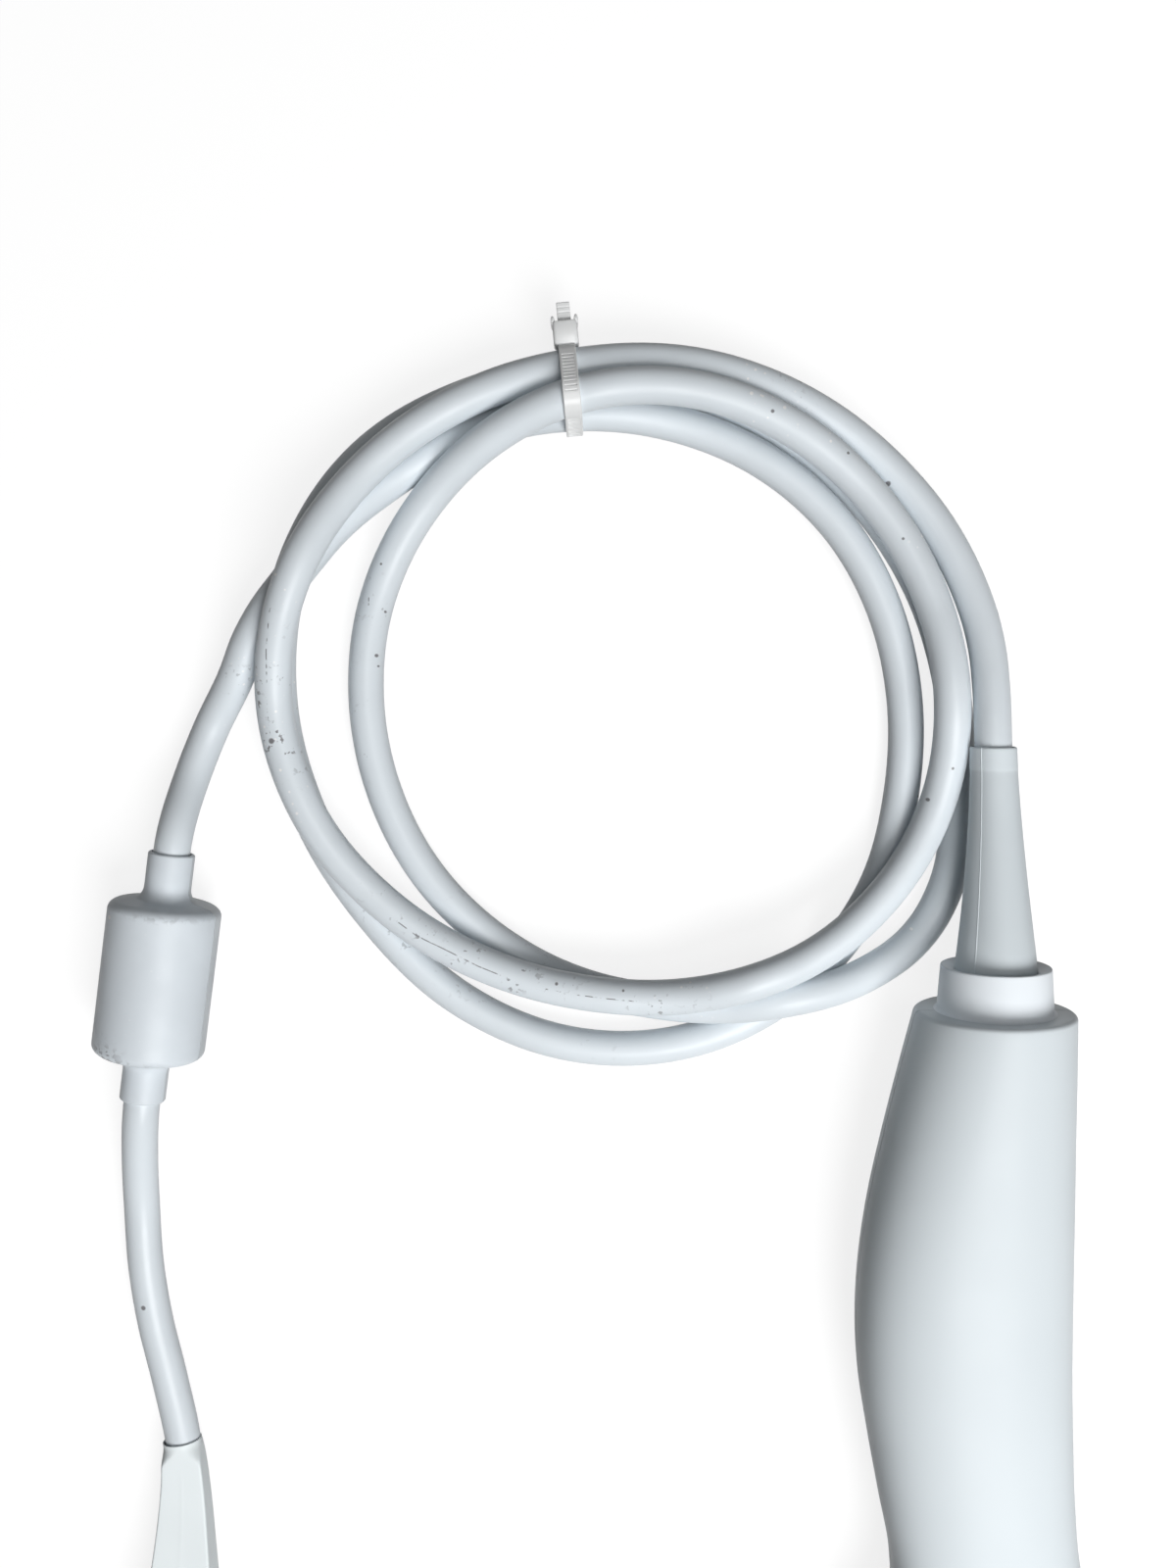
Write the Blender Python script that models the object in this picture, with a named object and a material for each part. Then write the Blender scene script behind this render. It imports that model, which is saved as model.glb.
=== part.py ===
# Ultrasound transducer probe with its cable, ferrite and connector.
# The handle lies on its broad side along Y, cable end towards +Y, and z = 0 is the table.
# The origin is the bottom centre of the handle with its nose and strain relief.
# All sizes are in metres.

from math import cos, pi, radians, sin, sqrt

import bmesh
import bpy
import numpy as np

# General clearances
GAP = 0.0003
WALL = 0.0022

# Handle: a lofted housing, split at mid height
AXIS_X = -0.0020
AXIS_HEIGHT = 0.0175
SHOULDER_Y = 0.0571
SHELL_LENGTH = 0.1484
SHOULDER_RADIUS = 0.0170
SHOULDER_ROUND = 0.0021
BELLY_BULGE = 0.0118
SPINE_FLARE = 0.0145
BODY_HALF_THICKNESS = 0.0175
NECK_HALF_THICKNESS = 0.0133
PARTING_GAP = 0.0003

# Nose, acoustic stack and lens at the far end of the handle
NOSE_CENTRE_X = 0.0
NOSE_LENGTH = 0.0227
NOSE_HALF_WIDTH = 0.0305
NOSE_HALF_HEIGHT = 0.0136
NOSE_RIM = 0.0024
NOSE_EDGE = 0.0012
NOSE_SPIGOT = 0.0050
NOSE_SPIGOT_WALL = 0.0014
LENS_RADIUS = 0.0600
LENS_TIP_Y = SHOULDER_Y - SHELL_LENGTH - NOSE_LENGTH
LENS_PROUD = 0.0012
LENS_THICKNESS = 0.0016
LENS_CROWN = 0.0006
MATCHING_THICKNESS = 0.0006
PIEZO_THICKNESS = 0.0008
BACKING_DEPTH = 0.0130
STACK_MARGIN_X = 0.0008
STACK_MARGIN_Z = 0.0012
FLEX_THICKNESS = 0.0003
FLEX_HALF_WIDTH = 0.0135
FLEX_INSET = 0.0018
FLEX_LAP = 0.0060
FLEX_MARGIN = 0.0010
FLEX_STATIONS = 12

# Boards in the handle
BOARD_WIDTH = 0.0240
BOARD_LENGTH = 0.0520
BOARD_THICKNESS = 0.0010
BOARD_START = 0.0440
CARRIER_HALF_HEIGHT = 0.0042
CARRIER_WING = 0.0022
CARRIER_SHIFT = 0.0040
CARRIER_RIM = 0.0040
CARRIER_END = 0.0060
POST_INSET = 0.0040
POST_LENGTH = 0.0060

# Collar and strain relief at the cable end
COLLAR_RADIUS = 0.0125
COLLAR_FRONT_RADIUS = 0.0117
COLLAR_LENGTH = 0.0095
COLLAR_RECESS = 0.0012
COLLAR_FILLET = 0.0006
COLLAR_EDGE = 0.0011
COLLAR_SPIGOT_DEPTH = 0.0016
SPIGOT_RADIUS = 0.0095
BOOT_ROOT_RADIUS = 0.0084
BOOT_MOUTH_RADIUS = 0.0048
BOOT_MOUTH_Y = 0.1140
BOOT_BEND = 0.0016
BOOT_FLANGE_RADIUS = 0.0092
BOOT_FLANGE_START = 0.0009
BOOT_FLANGE_LIP = 0.0018
BOOT_EDGE = 0.0004
BOOT_TAPER_POWER = 1.55

# Cable and what clamps it in the handle
CABLE_DIAMETER = 0.0078
CABLE_CLEARANCE = 0.0003
CABLE_LIFT = 0.0001
CLAMP_WIDTH = 0.0240
CLAMP_LENGTH = 0.0080
CLAMP_START = 0.0060
CLAMP_HEIGHT = 0.0080
CLAMP_SCREW_SPREAD = 0.0085
CLAMP_SCREW_LENGTH = 0.0095
SCREW_SHANK_RADIUS = 0.0010
SCREW_HEAD_RADIUS = 0.0020
SCREW_HEAD_HEIGHT = 0.0013
SCREW_CLEARANCE = 0.0002
SCREW_SINK = 0.0020
SCREW_TIP = 0.0006
SCREW_END_SPACE = 0.0030
FERRULE_LENGTH = 0.0090
FERRULE_WALL = 0.0009
BUNDLE_RADIUS = 0.0033
BUNDLE_SPREAD = 0.0052
BUNDLE_FLATTEN = 0.0008

# Coil: centre, and the route's own points as degrees round it, radius and height
COIL_X = -0.07873
COIL_Y = 0.12457
COIL_STEP = 20.0

# Ferrite on the cable
FERRITE_RADIUS = 0.0120
FERRITE_TOP = (-0.1796, 0.0907)
FERRITE_TILT = 8.1
FERRITE_LENGTH = 0.0551
FERRITE_NECK = 0.0109
FERRITE_BODY = 0.0342
FERRITE_NECK_RADIUS = 0.00495
FERRITE_FOOT_RADIUS = 0.0049
FERRITE_CORNER = 0.0028
FERRITE_CORNER_LENGTH = 0.0022
FERRITE_FILLET_LENGTH = 0.0028
FERRITE_FILLET_RISE = 0.0021
FERRITE_EDGE = 0.0005
FERRITE_WALL = 0.0024
FERRITE_PARTING = 12.0
FERRITE_CABLE_LEAD = 0.0020

# Cable tie round the coil
TIE_WIDTH = 0.0036
TIE_THICKNESS = 0.0011
TIE_CLEARANCE = 0.0008
TIE_ANGLE = 102.0
TIE_SKEW = 7.0
TIE_HEAD_WIDTH = 0.0053
TIE_HEAD_DEPTH = 0.0045
TIE_HEAD_HEIGHT = 0.0062
TIE_TAIL_WIDTH = 0.0028
TIE_TAIL_LENGTH = 0.0040
TIE_HEAD_DROP = 0.0010
TIE_REACH = 0.0660

# Connector on the far end of the cable
PLUG_X = -0.1814
PLUG_BOOT_Y = -0.0447
PLUG_BOOT_LENGTH = 0.0503
PLUG_BOOT_BEND = 0.0008
PLUG_LENGTH = 0.0800
PLUG_WIDTH = 0.0580
PLUG_HEIGHT = 0.0240
PLUG_WALL = 0.0020
PLUG_EDGE = 0.0008
PLUG_MOUTH_HEIGHT = 0.0058
PLUG_MOUTH_RADIUS = 0.0045
PLUG_BOOT_SPREAD_X = 0.0051
PLUG_BOOT_SPREAD_Z = 0.0026
PLUG_BOOT_ROUND = 0.0060
PLUG_SHOULDER_LENGTH = 0.0140
PLUG_SHOULDER_PULL = 0.0160
PLUG_SHOULDER_DROP = 0.0040
CABLE_TAIL = 0.0140
SHROUD_LENGTH = 0.0120
SHROUD_WALL = 0.0010
SHROUD_HALF_WIDTH = 0.0225
SHROUD_HALF_HEIGHT = 0.0070
SHROUD_DEPTH = 0.0080
TONGUE_HALF_HEIGHT = 0.0022
CONTACT_PITCH = 0.0016
CONTACT_COUNT = 22
CONTACT_DEPTH = 0.0005
PLUG_BOARD_THICKNESS = 0.0016
PLUG_BOARD_START = 0.0300
PLUG_BOSS_RADIUS = 0.0032
PLUG_SCREW_X = 0.0185
PLUG_SCREW_INSET = 0.0120
PLUG_SCREW_BACK = 0.0060
PLUG_SCREW_LENGTH = 0.0145
PLUG_SCREW_SEAT = 0.0012
PLUG_SCREW_END = 0.0045
PLUG_CLAMP_START = 0.0060
PLUG_CLAMP_LENGTH = 0.0070
PLUG_CLAMP_WALL = 0.0011
PLUG_CLAMP_FLANGE = 0.0022
PLUG_CLAMP_FLANGE_LENGTH = 0.0016
PLUG_RIB_HALF_WIDTH = 0.0100
PLUG_RIB_LENGTH = 0.0035
TONGUE_ROOT = 0.0040
TONGUE_SETBACK = 0.0020
TONGUE_MARGIN = 0.0012
CONTACT_BLOCK_SETBACK = 0.0015
BOARD_MARGIN = 0.0040

# Facets: odd numbers round a half leave one flat facet at the top and bottom
RING_STEPS = 20
SMALL_RING_STEPS = 12
HANDLE_ARC_STEPS = 13
HANDLE_SECTIONS = 14
PLUG_ARC_STEPS = 11
FERRITE_ARC_STEPS = 10
COLLAR_STEPS = 28
BOOT_STEPS = 20
BOOT_SECTIONS = 8
NOSE_STEPS = 36
LAYER_STEPS = 24
SHROUD_STEPS = 32
CUT_OVERRUN = 0.0020


def remove_everything():
    for thing in list(bpy.data.objects):
        bpy.data.objects.remove(thing, do_unlink=True)


def material(name, colour, roughness, metallic=0.0):
    finish = bpy.data.materials.new(name)
    finish.use_nodes = True
    shader = finish.node_tree.nodes["Principled BSDF"]
    shader.inputs["Base Color"].default_value = (*colour, 1.0)
    shader.inputs["Roughness"].default_value = roughness
    shader.inputs["Metallic"].default_value = metallic
    return finish


def add_object(name, points, faces, finish, smooth=True):
    """A closed body from points and faces, with its faces turned outwards."""
    mesh = bpy.data.meshes.new(name)
    mesh.from_pydata([tuple(map(float, p)) for p in points], [], faces)
    body = bmesh.new()
    body.from_mesh(mesh)
    bmesh.ops.recalc_face_normals(body, faces=body.faces)
    body.to_mesh(mesh)
    body.free()
    mesh.materials.append(finish)
    if smooth:
        mesh.shade_smooth()
        mesh.set_sharp_from_angle(angle=radians(35))
    thing = bpy.data.objects.new(name, mesh)
    bpy.context.scene.collection.objects.link(thing)
    return thing


def wall_between(name, outer, inner, finish, closed=True):
    """A wall between two surfaces given as rows of points along the piece.

    Where closed is false each row is an open arc, and the wall gets a rim along both edges.
    """
    outer = np.asarray(outer)
    inner = np.asarray(inner)
    rows, count = outer.shape[:2]
    points = np.concatenate([outer.reshape(-1, 3), inner.reshape(-1, 3)])
    shift = rows * count
    faces = []
    across = count if closed else count - 1
    for i in range(rows - 1):
        for j in range(across):
            k = (j + 1) % count
            a, b, c, d = i * count + j, i * count + k, (i + 1) * count + k, (i + 1) * count + j
            faces.append((a, b, c, d))
            faces.append((a + shift, d + shift, c + shift, b + shift))
        if not closed:
            for j in (0, count - 1):
                a, b = i * count + j, (i + 1) * count + j
                faces.append((a, b, b + shift, a + shift))
    for i in (0, rows - 1):
        for j in range(across):
            k = (j + 1) % count
            a, b = i * count + j, i * count + k
            faces.append((a, b, b + shift, a + shift))
    return add_object(name, points, faces, finish)


def solid_loft(name, rows, finish):
    """A solid through closed rows of points, with flat ends."""
    rows = np.asarray(rows)
    levels, count = rows.shape[:2]
    faces = []
    for i in range(levels - 1):
        for j in range(count):
            k = (j + 1) % count
            faces.append((i * count + j, i * count + k, (i + 1) * count + k, (i + 1) * count + j))
    faces.append(tuple(range(count)))
    faces.append(tuple(range((levels - 1) * count, levels * count)))
    return add_object(name, rows.reshape(-1, 3), faces, finish)


def block(name, low, high, finish):
    """A box from its lowest to its highest corner."""
    low = np.asarray(low)
    high = np.asarray(high)
    corners = [[(low, high)[(i >> k) & 1][k] for k in range(3)] for i in range(8)]
    faces = [(0, 1, 3, 2), (4, 6, 7, 5), (0, 4, 5, 1), (2, 3, 7, 6), (0, 2, 6, 4), (1, 5, 7, 3)]
    return add_object(name, corners, faces, finish, smooth=False)


def helper(thing):
    """Marks a shape that only cuts or joins another."""
    thing.hide_render = True
    thing.display_type = "WIRE"
    return thing


def combine(thing, other, operation):
    step = thing.modifiers.new("Combine", "BOOLEAN")
    step.operation = operation
    step.solver = "EXACT"
    step.object = helper(other)


def smooth_values(knots, rows, at):
    """Cubic curve through rows of values, with slopes from each value's neighbours."""
    knots = np.asarray(knots, float)
    rows = np.asarray(rows, float)
    at = np.clip(np.asarray(at, float), knots[0], knots[-1])
    slopes = np.gradient(rows, knots, axis=0)
    k = np.clip(np.searchsorted(knots, at, side="right") - 1, 0, len(knots) - 2)
    span = (knots[k + 1] - knots[k])[:, None]
    t = ((at - knots[k])[:, None]) / span
    start = rows[k] * (2 * t**3 - 3 * t**2 + 1) + slopes[k] * span * (t**3 - 2 * t**2 + t)
    end = rows[k + 1] * (3 * t**2 - 2 * t**3) + slopes[k + 1] * span * (t**3 - t**2)
    return start + end


def oval(half_width, half_height, squareness, angles):
    """Points of a superellipse: 2 is an ellipse, more is squarer.

    Its highest points always lie at the full half height, also where no angle points straight up.
    """
    c = np.cos(angles)
    s = np.sin(angles)
    power = 2.0 / squareness
    across = half_width * np.sign(c) * np.abs(c) ** power
    up = np.sign(s) * np.abs(s) ** power
    return across, up * half_height / np.abs(up).max()


# Handle outline: share of the shell's length, share of the belly bulge, share of the spine
# flare, share of the way from body to neck thickness, squareness of the section
HANDLE_OUTLINE = (
    (0.00, 0.00, 0.000, 0.12, 2.00),
    (0.09, 0.28, 0.010, 0.06, 2.06),
    (0.19, 0.57, 0.012, 0.00, 2.14),
    (0.28, 0.80, 0.020, 0.00, 2.20),
    (0.39, 0.97, 0.028, 0.00, 2.25),
    (0.46, 1.00, 0.036, 0.00, 2.25),
    (0.54, 0.94, 0.052, 0.06, 2.25),
    (0.63, 0.76, 0.092, 0.22, 2.25),
    (0.73, 0.52, 0.150, 0.48, 2.30),
    (0.83, 0.28, 0.262, 0.76, 2.50),
    (0.90, 0.27, 0.445, 0.92, 2.90),
    (0.96, 0.57, 0.755, 1.00, 3.40),
    (1.00, 0.89, 0.980, 1.00, 3.80),
)


def handle_section(along):
    """Middle, half width, half thickness and squareness, a distance along from the shoulder."""
    knots = [row[0] for row in HANDLE_OUTLINE]
    values = smooth_values(knots, [row[1:] for row in HANDLE_OUTLINE], [along / SHELL_LENGTH])[0]
    belly = SHOULDER_RADIUS + BELLY_BULGE * values[0]
    spine = SHOULDER_RADIUS + SPINE_FLARE * values[1]
    thickness = BODY_HALF_THICKNESS + (NECK_HALF_THICKNESS - BODY_HALF_THICKNESS) * values[2]
    middle = AXIS_X + (spine - belly) / 2
    return middle, (belly + spine) / 2, min(thickness, AXIS_HEIGHT), values[3]


def handle_row(along, inset, angles, lift=0.0):
    """One section of the handle's surface, drawn in by inset and kept clear of the parting."""
    middle, half_width, thickness, squareness = handle_section(along)
    short = max(SHOULDER_ROUND - along, 0.0)
    inset = inset + SHOULDER_ROUND - sqrt(SHOULDER_ROUND**2 - short**2)
    across, up = oval(half_width - inset, thickness - inset, squareness, angles)
    if lift:
        up = np.sign(lift) * np.maximum(np.abs(up), abs(lift))
    y = np.full_like(across, SHOULDER_Y - along)
    return np.stack([middle + across, y, AXIS_HEIGHT + up], axis=-1)


def housing_rib(name, near, far, x_low, x_high, top, finish):
    """A rib that stands on the inside of the lower housing and follows its curve."""
    rows = []
    for along in (near, far):
        middle, half_width, thickness, squareness = handle_section(along)
        x = np.linspace(x_low, x_high, 9)
        share = np.abs((x - middle) / (half_width - WALL / 2)) ** squareness
        z = AXIS_HEIGHT - (thickness - WALL / 2) * (1 - share) ** (1 / squareness)
        x = np.append(x, [x_high, x_low])
        z = np.append(z, [top, top])
        rows.append(np.stack([x, np.full_like(x, SHOULDER_Y - along), z], axis=-1))
    return solid_loft(name, rows, finish)


def round_row(centre, radius, angles, axis=(0.0, 1.0)):
    """A circle about an axis that lies level and points along axis in the XY plane."""
    centre = np.asarray(centre, float)
    side = np.array([axis[1], -axis[0], 0.0])
    return centre + radius * (np.cos(angles)[:, None] * side + np.sin(angles)[:, None] * [0, 0, 1])


def full_turn(steps=RING_STEPS):
    return np.linspace(0.0, 2 * pi, steps, endpoint=False)


def handle_shell(name, side, finish):
    """Half of the housing, above the parting line for side 1 and below it for side -1."""
    angles = np.linspace(0.0, pi, HANDLE_ARC_STEPS + 1) * side
    lift = side * PARTING_GAP / 2
    round_steps = [SHOULDER_ROUND * (1 - cos(a)) for a in np.linspace(0.0, pi / 2, 4)]
    body_steps = np.linspace(0.06, 1.0, HANDLE_SECTIONS)[:-1] * SHELL_LENGTH
    end_steps = SHELL_LENGTH + GAP - np.array(spigot_steps()[:-1])
    along = np.concatenate([round_steps, [WALL, WALL + GAP], body_steps, end_steps, [SHELL_LENGTH]])
    hole = SPIGOT_RADIUS + GAP
    outer = [handle_row(s, 0.0, angles, lift) for s in along]
    inner = []
    for s in along:
        if s <= WALL + GAP / 2:
            row = round_row((AXIS_X, SHOULDER_Y - s, AXIS_HEIGHT), hole, angles)
            up = np.maximum(np.abs(row[:, 2] - AXIS_HEIGHT), abs(lift)) * side
            row[:, 2] = AXIS_HEIGHT + up
        else:
            row = handle_row(s, WALL, angles, lift)
        inner.append(row)
    return wall_between(name, outer, inner, finish, closed=False)


def spigot_steps():
    """Distances of the nose spigot's sections behind the joint with the shells."""
    return [NOSE_SPIGOT, NOSE_SPIGOT * 0.6, NOSE_SPIGOT * 0.3, GAP * 0.5]


def nose_front(x):
    """The curved front of the array: an arc across the nose, in y."""
    return LENS_TIP_Y + LENS_RADIUS - np.sqrt(LENS_RADIUS**2 - (x - NOSE_CENTRE_X) ** 2)


def nose_layer(half_width, half_height, depth, crown=0.0, rings=3, steps=LAYER_STEPS):
    """Rows from the middle to the edge of one curved layer, set back by depth from the lens tip."""
    angles = full_turn(steps)
    rows = []
    for share in np.linspace(0.04, 1.0, rings):
        across, up = oval(half_width * share, half_height * share, 4.0, angles)
        x = NOSE_CENTRE_X + across
        y = nose_front(x) + depth + crown * (up / half_height) ** 2
        rows.append(np.stack([x, y, AXIS_HEIGHT + up], axis=-1))
    return rows


def curved_slab(name, half_width, half_height, depth, thickness, finish, crown=0.0):
    front = nose_layer(half_width, half_height, depth, crown)
    back = nose_layer(half_width, half_height, depth + thickness)
    return solid_loft(name, front + back[::-1], finish)


def build_nose(plastic, silicone, matching, ceramic, backing):
    start = SHOULDER_Y - SHELL_LENGTH - GAP
    angles = full_turn(NOSE_STEPS)
    outer = []
    inner = []
    shell_end = handle_row(SHELL_LENGTH, 0.0, angles)
    window_width = NOSE_HALF_WIDTH - NOSE_RIM
    window_height = NOSE_HALF_HEIGHT - NOSE_RIM
    levels = [(back, -1.0) for back in spigot_steps()]
    for back, share in levels + [(0.0, 0.0), (0.0, 0.5), (0.0, 0.85), (0.0, 1.0)]:
        if share < 0.0:
            row = handle_row(SHELL_LENGTH - back + GAP, WALL + GAP, angles)
            bore = handle_row(SHELL_LENGTH - back + GAP, WALL + GAP + NOSE_SPIGOT_WALL, angles)
        else:
            trim = NOSE_EDGE if share == 1.0 else 0.0
            across, up = oval(NOSE_HALF_WIDTH - trim, NOSE_HALF_HEIGHT - trim, 4.0, angles)
            head = np.stack([NOSE_CENTRE_X + across, across * 0.0, AXIS_HEIGHT + up], axis=-1)
            blend = min(share * 2.0, 1.0)
            row = shell_end * (1 - blend) + head * blend
            front = nose_front(row[:, 0]) + LENS_PROUD
            row[:, 1] = start + (front - start) * share
            across, up = oval(window_width, window_height, 4.0, angles)
            bore = np.stack([NOSE_CENTRE_X + across, across * 0.0, AXIS_HEIGHT + up], axis=-1)
            bore[:, 1] = start + (nose_front(bore[:, 0]) + LENS_PROUD - start) * share
        outer.append(row)
        inner.append(bore)
    wall_between("nose_frame", outer, inner, plastic)
    width = window_width - GAP
    height = window_height - GAP
    curved_slab("acoustic_lens", width, height, 0.0, LENS_PROUD + LENS_THICKNESS, silicone, LENS_CROWN)
    depth = LENS_PROUD + LENS_THICKNESS + GAP
    layer_width = width - STACK_MARGIN_X
    layer_height = height - STACK_MARGIN_Z
    curved_slab("matching_layer", layer_width, layer_height, depth, MATCHING_THICKNESS, matching)
    depth += MATCHING_THICKNESS + GAP
    curved_slab("piezo_array", layer_width, layer_height, depth, PIEZO_THICKNESS, ceramic)
    depth += PIEZO_THICKNESS + GAP
    front = nose_layer(layer_width, layer_height, depth)
    back = [row.copy() for row in nose_layer(layer_width, layer_height, depth)]
    for row in back:
        row[:, 1] = LENS_TIP_Y + depth + BACKING_DEPTH
    solid_loft("backing_block", front + back[::-1], backing)
    return depth, layer_height


def strip_along(name, path, half_widths, thickness, finish):
    """A flat strip whose middle follows points in the YZ plane, with a half width at each."""
    path = np.asarray(path)
    direction = np.gradient(path, axis=0)
    direction /= np.linalg.norm(direction, axis=1)[:, None]
    normal = np.stack([-direction[:, 1], direction[:, 0]], axis=-1) * thickness / 2
    rows = []
    for point, n, (middle, half) in zip(path, normal, half_widths):
        low = point - n
        high = point + n
        rows.append([
            (middle - half, *low), (middle + half, *low), (middle + half, *high), (middle - half, *high)])
    return solid_loft(name, rows, finish)


def build_handle_inside(depth, layer_height, lower_shell, board, copper, plastic, flexible):
    board_near = SHOULDER_Y - BOARD_START
    board_far = board_near - BOARD_LENGTH
    block_back = LENS_TIP_Y + depth + BACKING_DEPTH
    half = BOARD_WIDTH / 2
    wing = half + CARRIER_WING
    carrier_x = AXIS_X - CARRIER_SHIFT
    low = AXIS_HEIGHT - CARRIER_HALF_HEIGHT
    high = AXIS_HEIGHT + CARRIER_HALF_HEIGHT
    carrier = block("board_carrier", (carrier_x - wing, board_far, low),
                    (carrier_x + wing, board_near, high), plastic)
    opening = half - CARRIER_RIM
    window = block("carrier_window",
                   (carrier_x - opening, board_far + CARRIER_END, low - CUT_OVERRUN),
                   (carrier_x + opening, board_near - CARRIER_END, high + CUT_OVERRUN), plastic)
    combine(carrier, window, "DIFFERENCE")
    for side in (-1, 1):
        inner_edge = carrier_x + side * (half + GAP)
        outer_edge = carrier_x + side * wing
        last_post = BOARD_START + BOARD_LENGTH - POST_INSET - POST_LENGTH
        for number, start in enumerate((BOARD_START + POST_INSET, last_post)):
            post = housing_rib("carrier_post_%d_%d" % (side, number), start, start + POST_LENGTH,
                               min(inner_edge, outer_edge), max(inner_edge, outer_edge),
                               low - GAP, plastic)
            combine(lower_shell, post, "UNION")
    for side, name in ((1, "upper"), (-1, "lower")):
        near = AXIS_HEIGHT + side * (CARRIER_HALF_HEIGHT + GAP)
        far = near + side * BOARD_THICKNESS
        block("interconnect_board_" + name, (carrier_x - half, board_far, min(near, far)),
              (carrier_x + half, board_near, max(near, far)), board)
        flex_z = far + side * (GAP + FLEX_THICKNESS / 2)
        start = (block_back + GAP, AXIS_HEIGHT + side * (layer_height - FLEX_INSET))
        end = (board_far + FLEX_LAP, flex_z)
        between = ((start[0] + board_far) / 2, (start[1] + end[1]) / 2)
        at = np.linspace(0.0, 1.0, FLEX_STATIONS)
        path = smooth_values((0.0, 0.5, 1.0), (start, between, end), at)
        path[-3:, 1] = flex_z
        middles = NOSE_CENTRE_X * (1 - at) + carrier_x * at
        half_widths = FLEX_HALF_WIDTH * (1 - at) + (half - FLEX_MARGIN) * at
        widths = list(zip(middles, half_widths))
        strip_along("flex_circuit_" + name, path, widths, FLEX_THICKNESS, flexible)
    angles = full_turn()
    ferrule_y = SHOULDER_Y - CLAMP_START - CLAMP_LENGTH - GAP
    bore = CABLE_DIAMETER / 2 + CABLE_CLEARANCE
    rows_y = (ferrule_y, ferrule_y - FERRULE_LENGTH)
    outer = [round_row((AXIS_X, y, AXIS_HEIGHT), bore + FERRULE_WALL, angles) for y in rows_y]
    inner = [round_row((AXIS_X, y, AXIS_HEIGHT), bore, angles) for y in rows_y]
    wall_between("braid_ferrule", outer, inner, copper)
    bundle = []
    start_y = cable_start_y() - GAP
    for t in np.linspace(0.0, 1.0, 8):
        y = start_y + (board_near + GAP - start_y) * t
        ease = t * t * (3 - 2 * t)
        x = AXIS_X + (carrier_x - AXIS_X) * ease
        across, up = bundle_section(ease)
        bundle.append(np.stack([x + across, np.full_like(across, y), AXIS_HEIGHT + up], axis=-1))
    solid_loft("core_bundle", bundle, copper)


def bundle_section(spread):
    """The bare cores' section: round where the jacket ends and wide and flat at the board."""
    return oval(BUNDLE_RADIUS + BUNDLE_SPREAD * spread, BUNDLE_RADIUS - BUNDLE_FLATTEN * spread,
                2.0, full_turn(SMALL_RING_STEPS))


def cable_start_y():
    """Where the cable's jacket ends inside the handle: level with the end of the ferrule."""
    return SHOULDER_Y - CLAMP_START - CLAMP_LENGTH - GAP - FERRULE_LENGTH


def build_clamp(lower_shell, steel, shell_plastic):
    near = SHOULDER_Y - CLAMP_START
    far = near - CLAMP_LENGTH
    middle = (near + far) / 2
    bore = CABLE_DIAMETER / 2 + CABLE_CLEARANCE
    seat = AXIS_HEIGHT - GAP / 2
    half = CLAMP_WIDTH / 2
    cradle = housing_rib("clamp_cradle", CLAMP_START, CLAMP_START + CLAMP_LENGTH, AXIS_X - half,
                         AXIS_X + half, seat, shell_plastic)
    combine(lower_shell, cradle, "UNION")
    groove = solid_loft("clamp_groove", [round_row((AXIS_X, y, AXIS_HEIGHT), bore, full_turn())
                                         for y in (near + CUT_OVERRUN, far - CUT_OVERRUN)],
                        shell_plastic)
    combine(lower_shell, groove, "DIFFERENCE")
    clamp = block("cable_clamp", (AXIS_X - half, far, AXIS_HEIGHT + GAP / 2),
                  (AXIS_X + half, near, AXIS_HEIGHT + CLAMP_HEIGHT), steel)
    combine(clamp, groove, "DIFFERENCE")
    top = AXIS_HEIGHT + CLAMP_HEIGHT + CUT_OVERRUN
    head_seat = AXIS_HEIGHT + CLAMP_HEIGHT - SCREW_SINK
    bottom = head_seat - CLAMP_SCREW_LENGTH - SCREW_END_SPACE
    for number, side in enumerate((-1, 1), 1):
        x = AXIS_X + side * CLAMP_SCREW_SPREAD
        shaft = [round_z((x, middle), SCREW_SHANK_RADIUS + SCREW_CLEARANCE, z, SMALL_RING_STEPS)
                 for z in (bottom, top)]
        hole = solid_loft("clamp_hole_%d" % number, shaft, steel)
        combine(lower_shell, hole, "DIFFERENCE")
        combine(clamp, hole, "DIFFERENCE")
        sink = solid_loft("clamp_sink_%d" % number,
                          [round_z((x, middle), SCREW_HEAD_RADIUS + GAP, z)
                           for z in (head_seat, top)], steel)
        combine(clamp, sink, "DIFFERENCE")
        screw("clamp_screw_%d" % number, (x, middle), head_seat + GAP, 1, CLAMP_SCREW_LENGTH, steel)


def round_z(centre, radius, z, steps=16):
    angles = full_turn(steps)
    return np.stack([centre[0] + radius * np.cos(angles), centre[1] + radius * np.sin(angles),
                     np.full(steps, z)], axis=-1)


def screw(name, centre, seat, side, length, finish):
    """A plain machine screw whose head rests at height seat and faces up for side 1."""
    profile = ((SCREW_SHANK_RADIUS * 0.7, -length), (SCREW_SHANK_RADIUS, SCREW_TIP - length),
               (SCREW_SHANK_RADIUS, 0.0), (SCREW_HEAD_RADIUS, 0.0),
               (SCREW_HEAD_RADIUS, SCREW_HEAD_HEIGHT * 0.7),
               (SCREW_HEAD_RADIUS * 0.8, SCREW_HEAD_HEIGHT))
    rows = [round_z(centre, radius, seat + side * rise, SMALL_RING_STEPS) for radius, rise in profile]
    return solid_loft(name, rows, finish)


def boot_axis(y):
    """The strain relief's middle line: it leans a little towards the coil at its mouth."""
    root = SHOULDER_Y + COLLAR_LENGTH
    t = np.clip((y - root) / (BOOT_MOUTH_Y - root), 0.0, 1.0)
    return AXIS_X - BOOT_BEND * t**1.4


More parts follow.
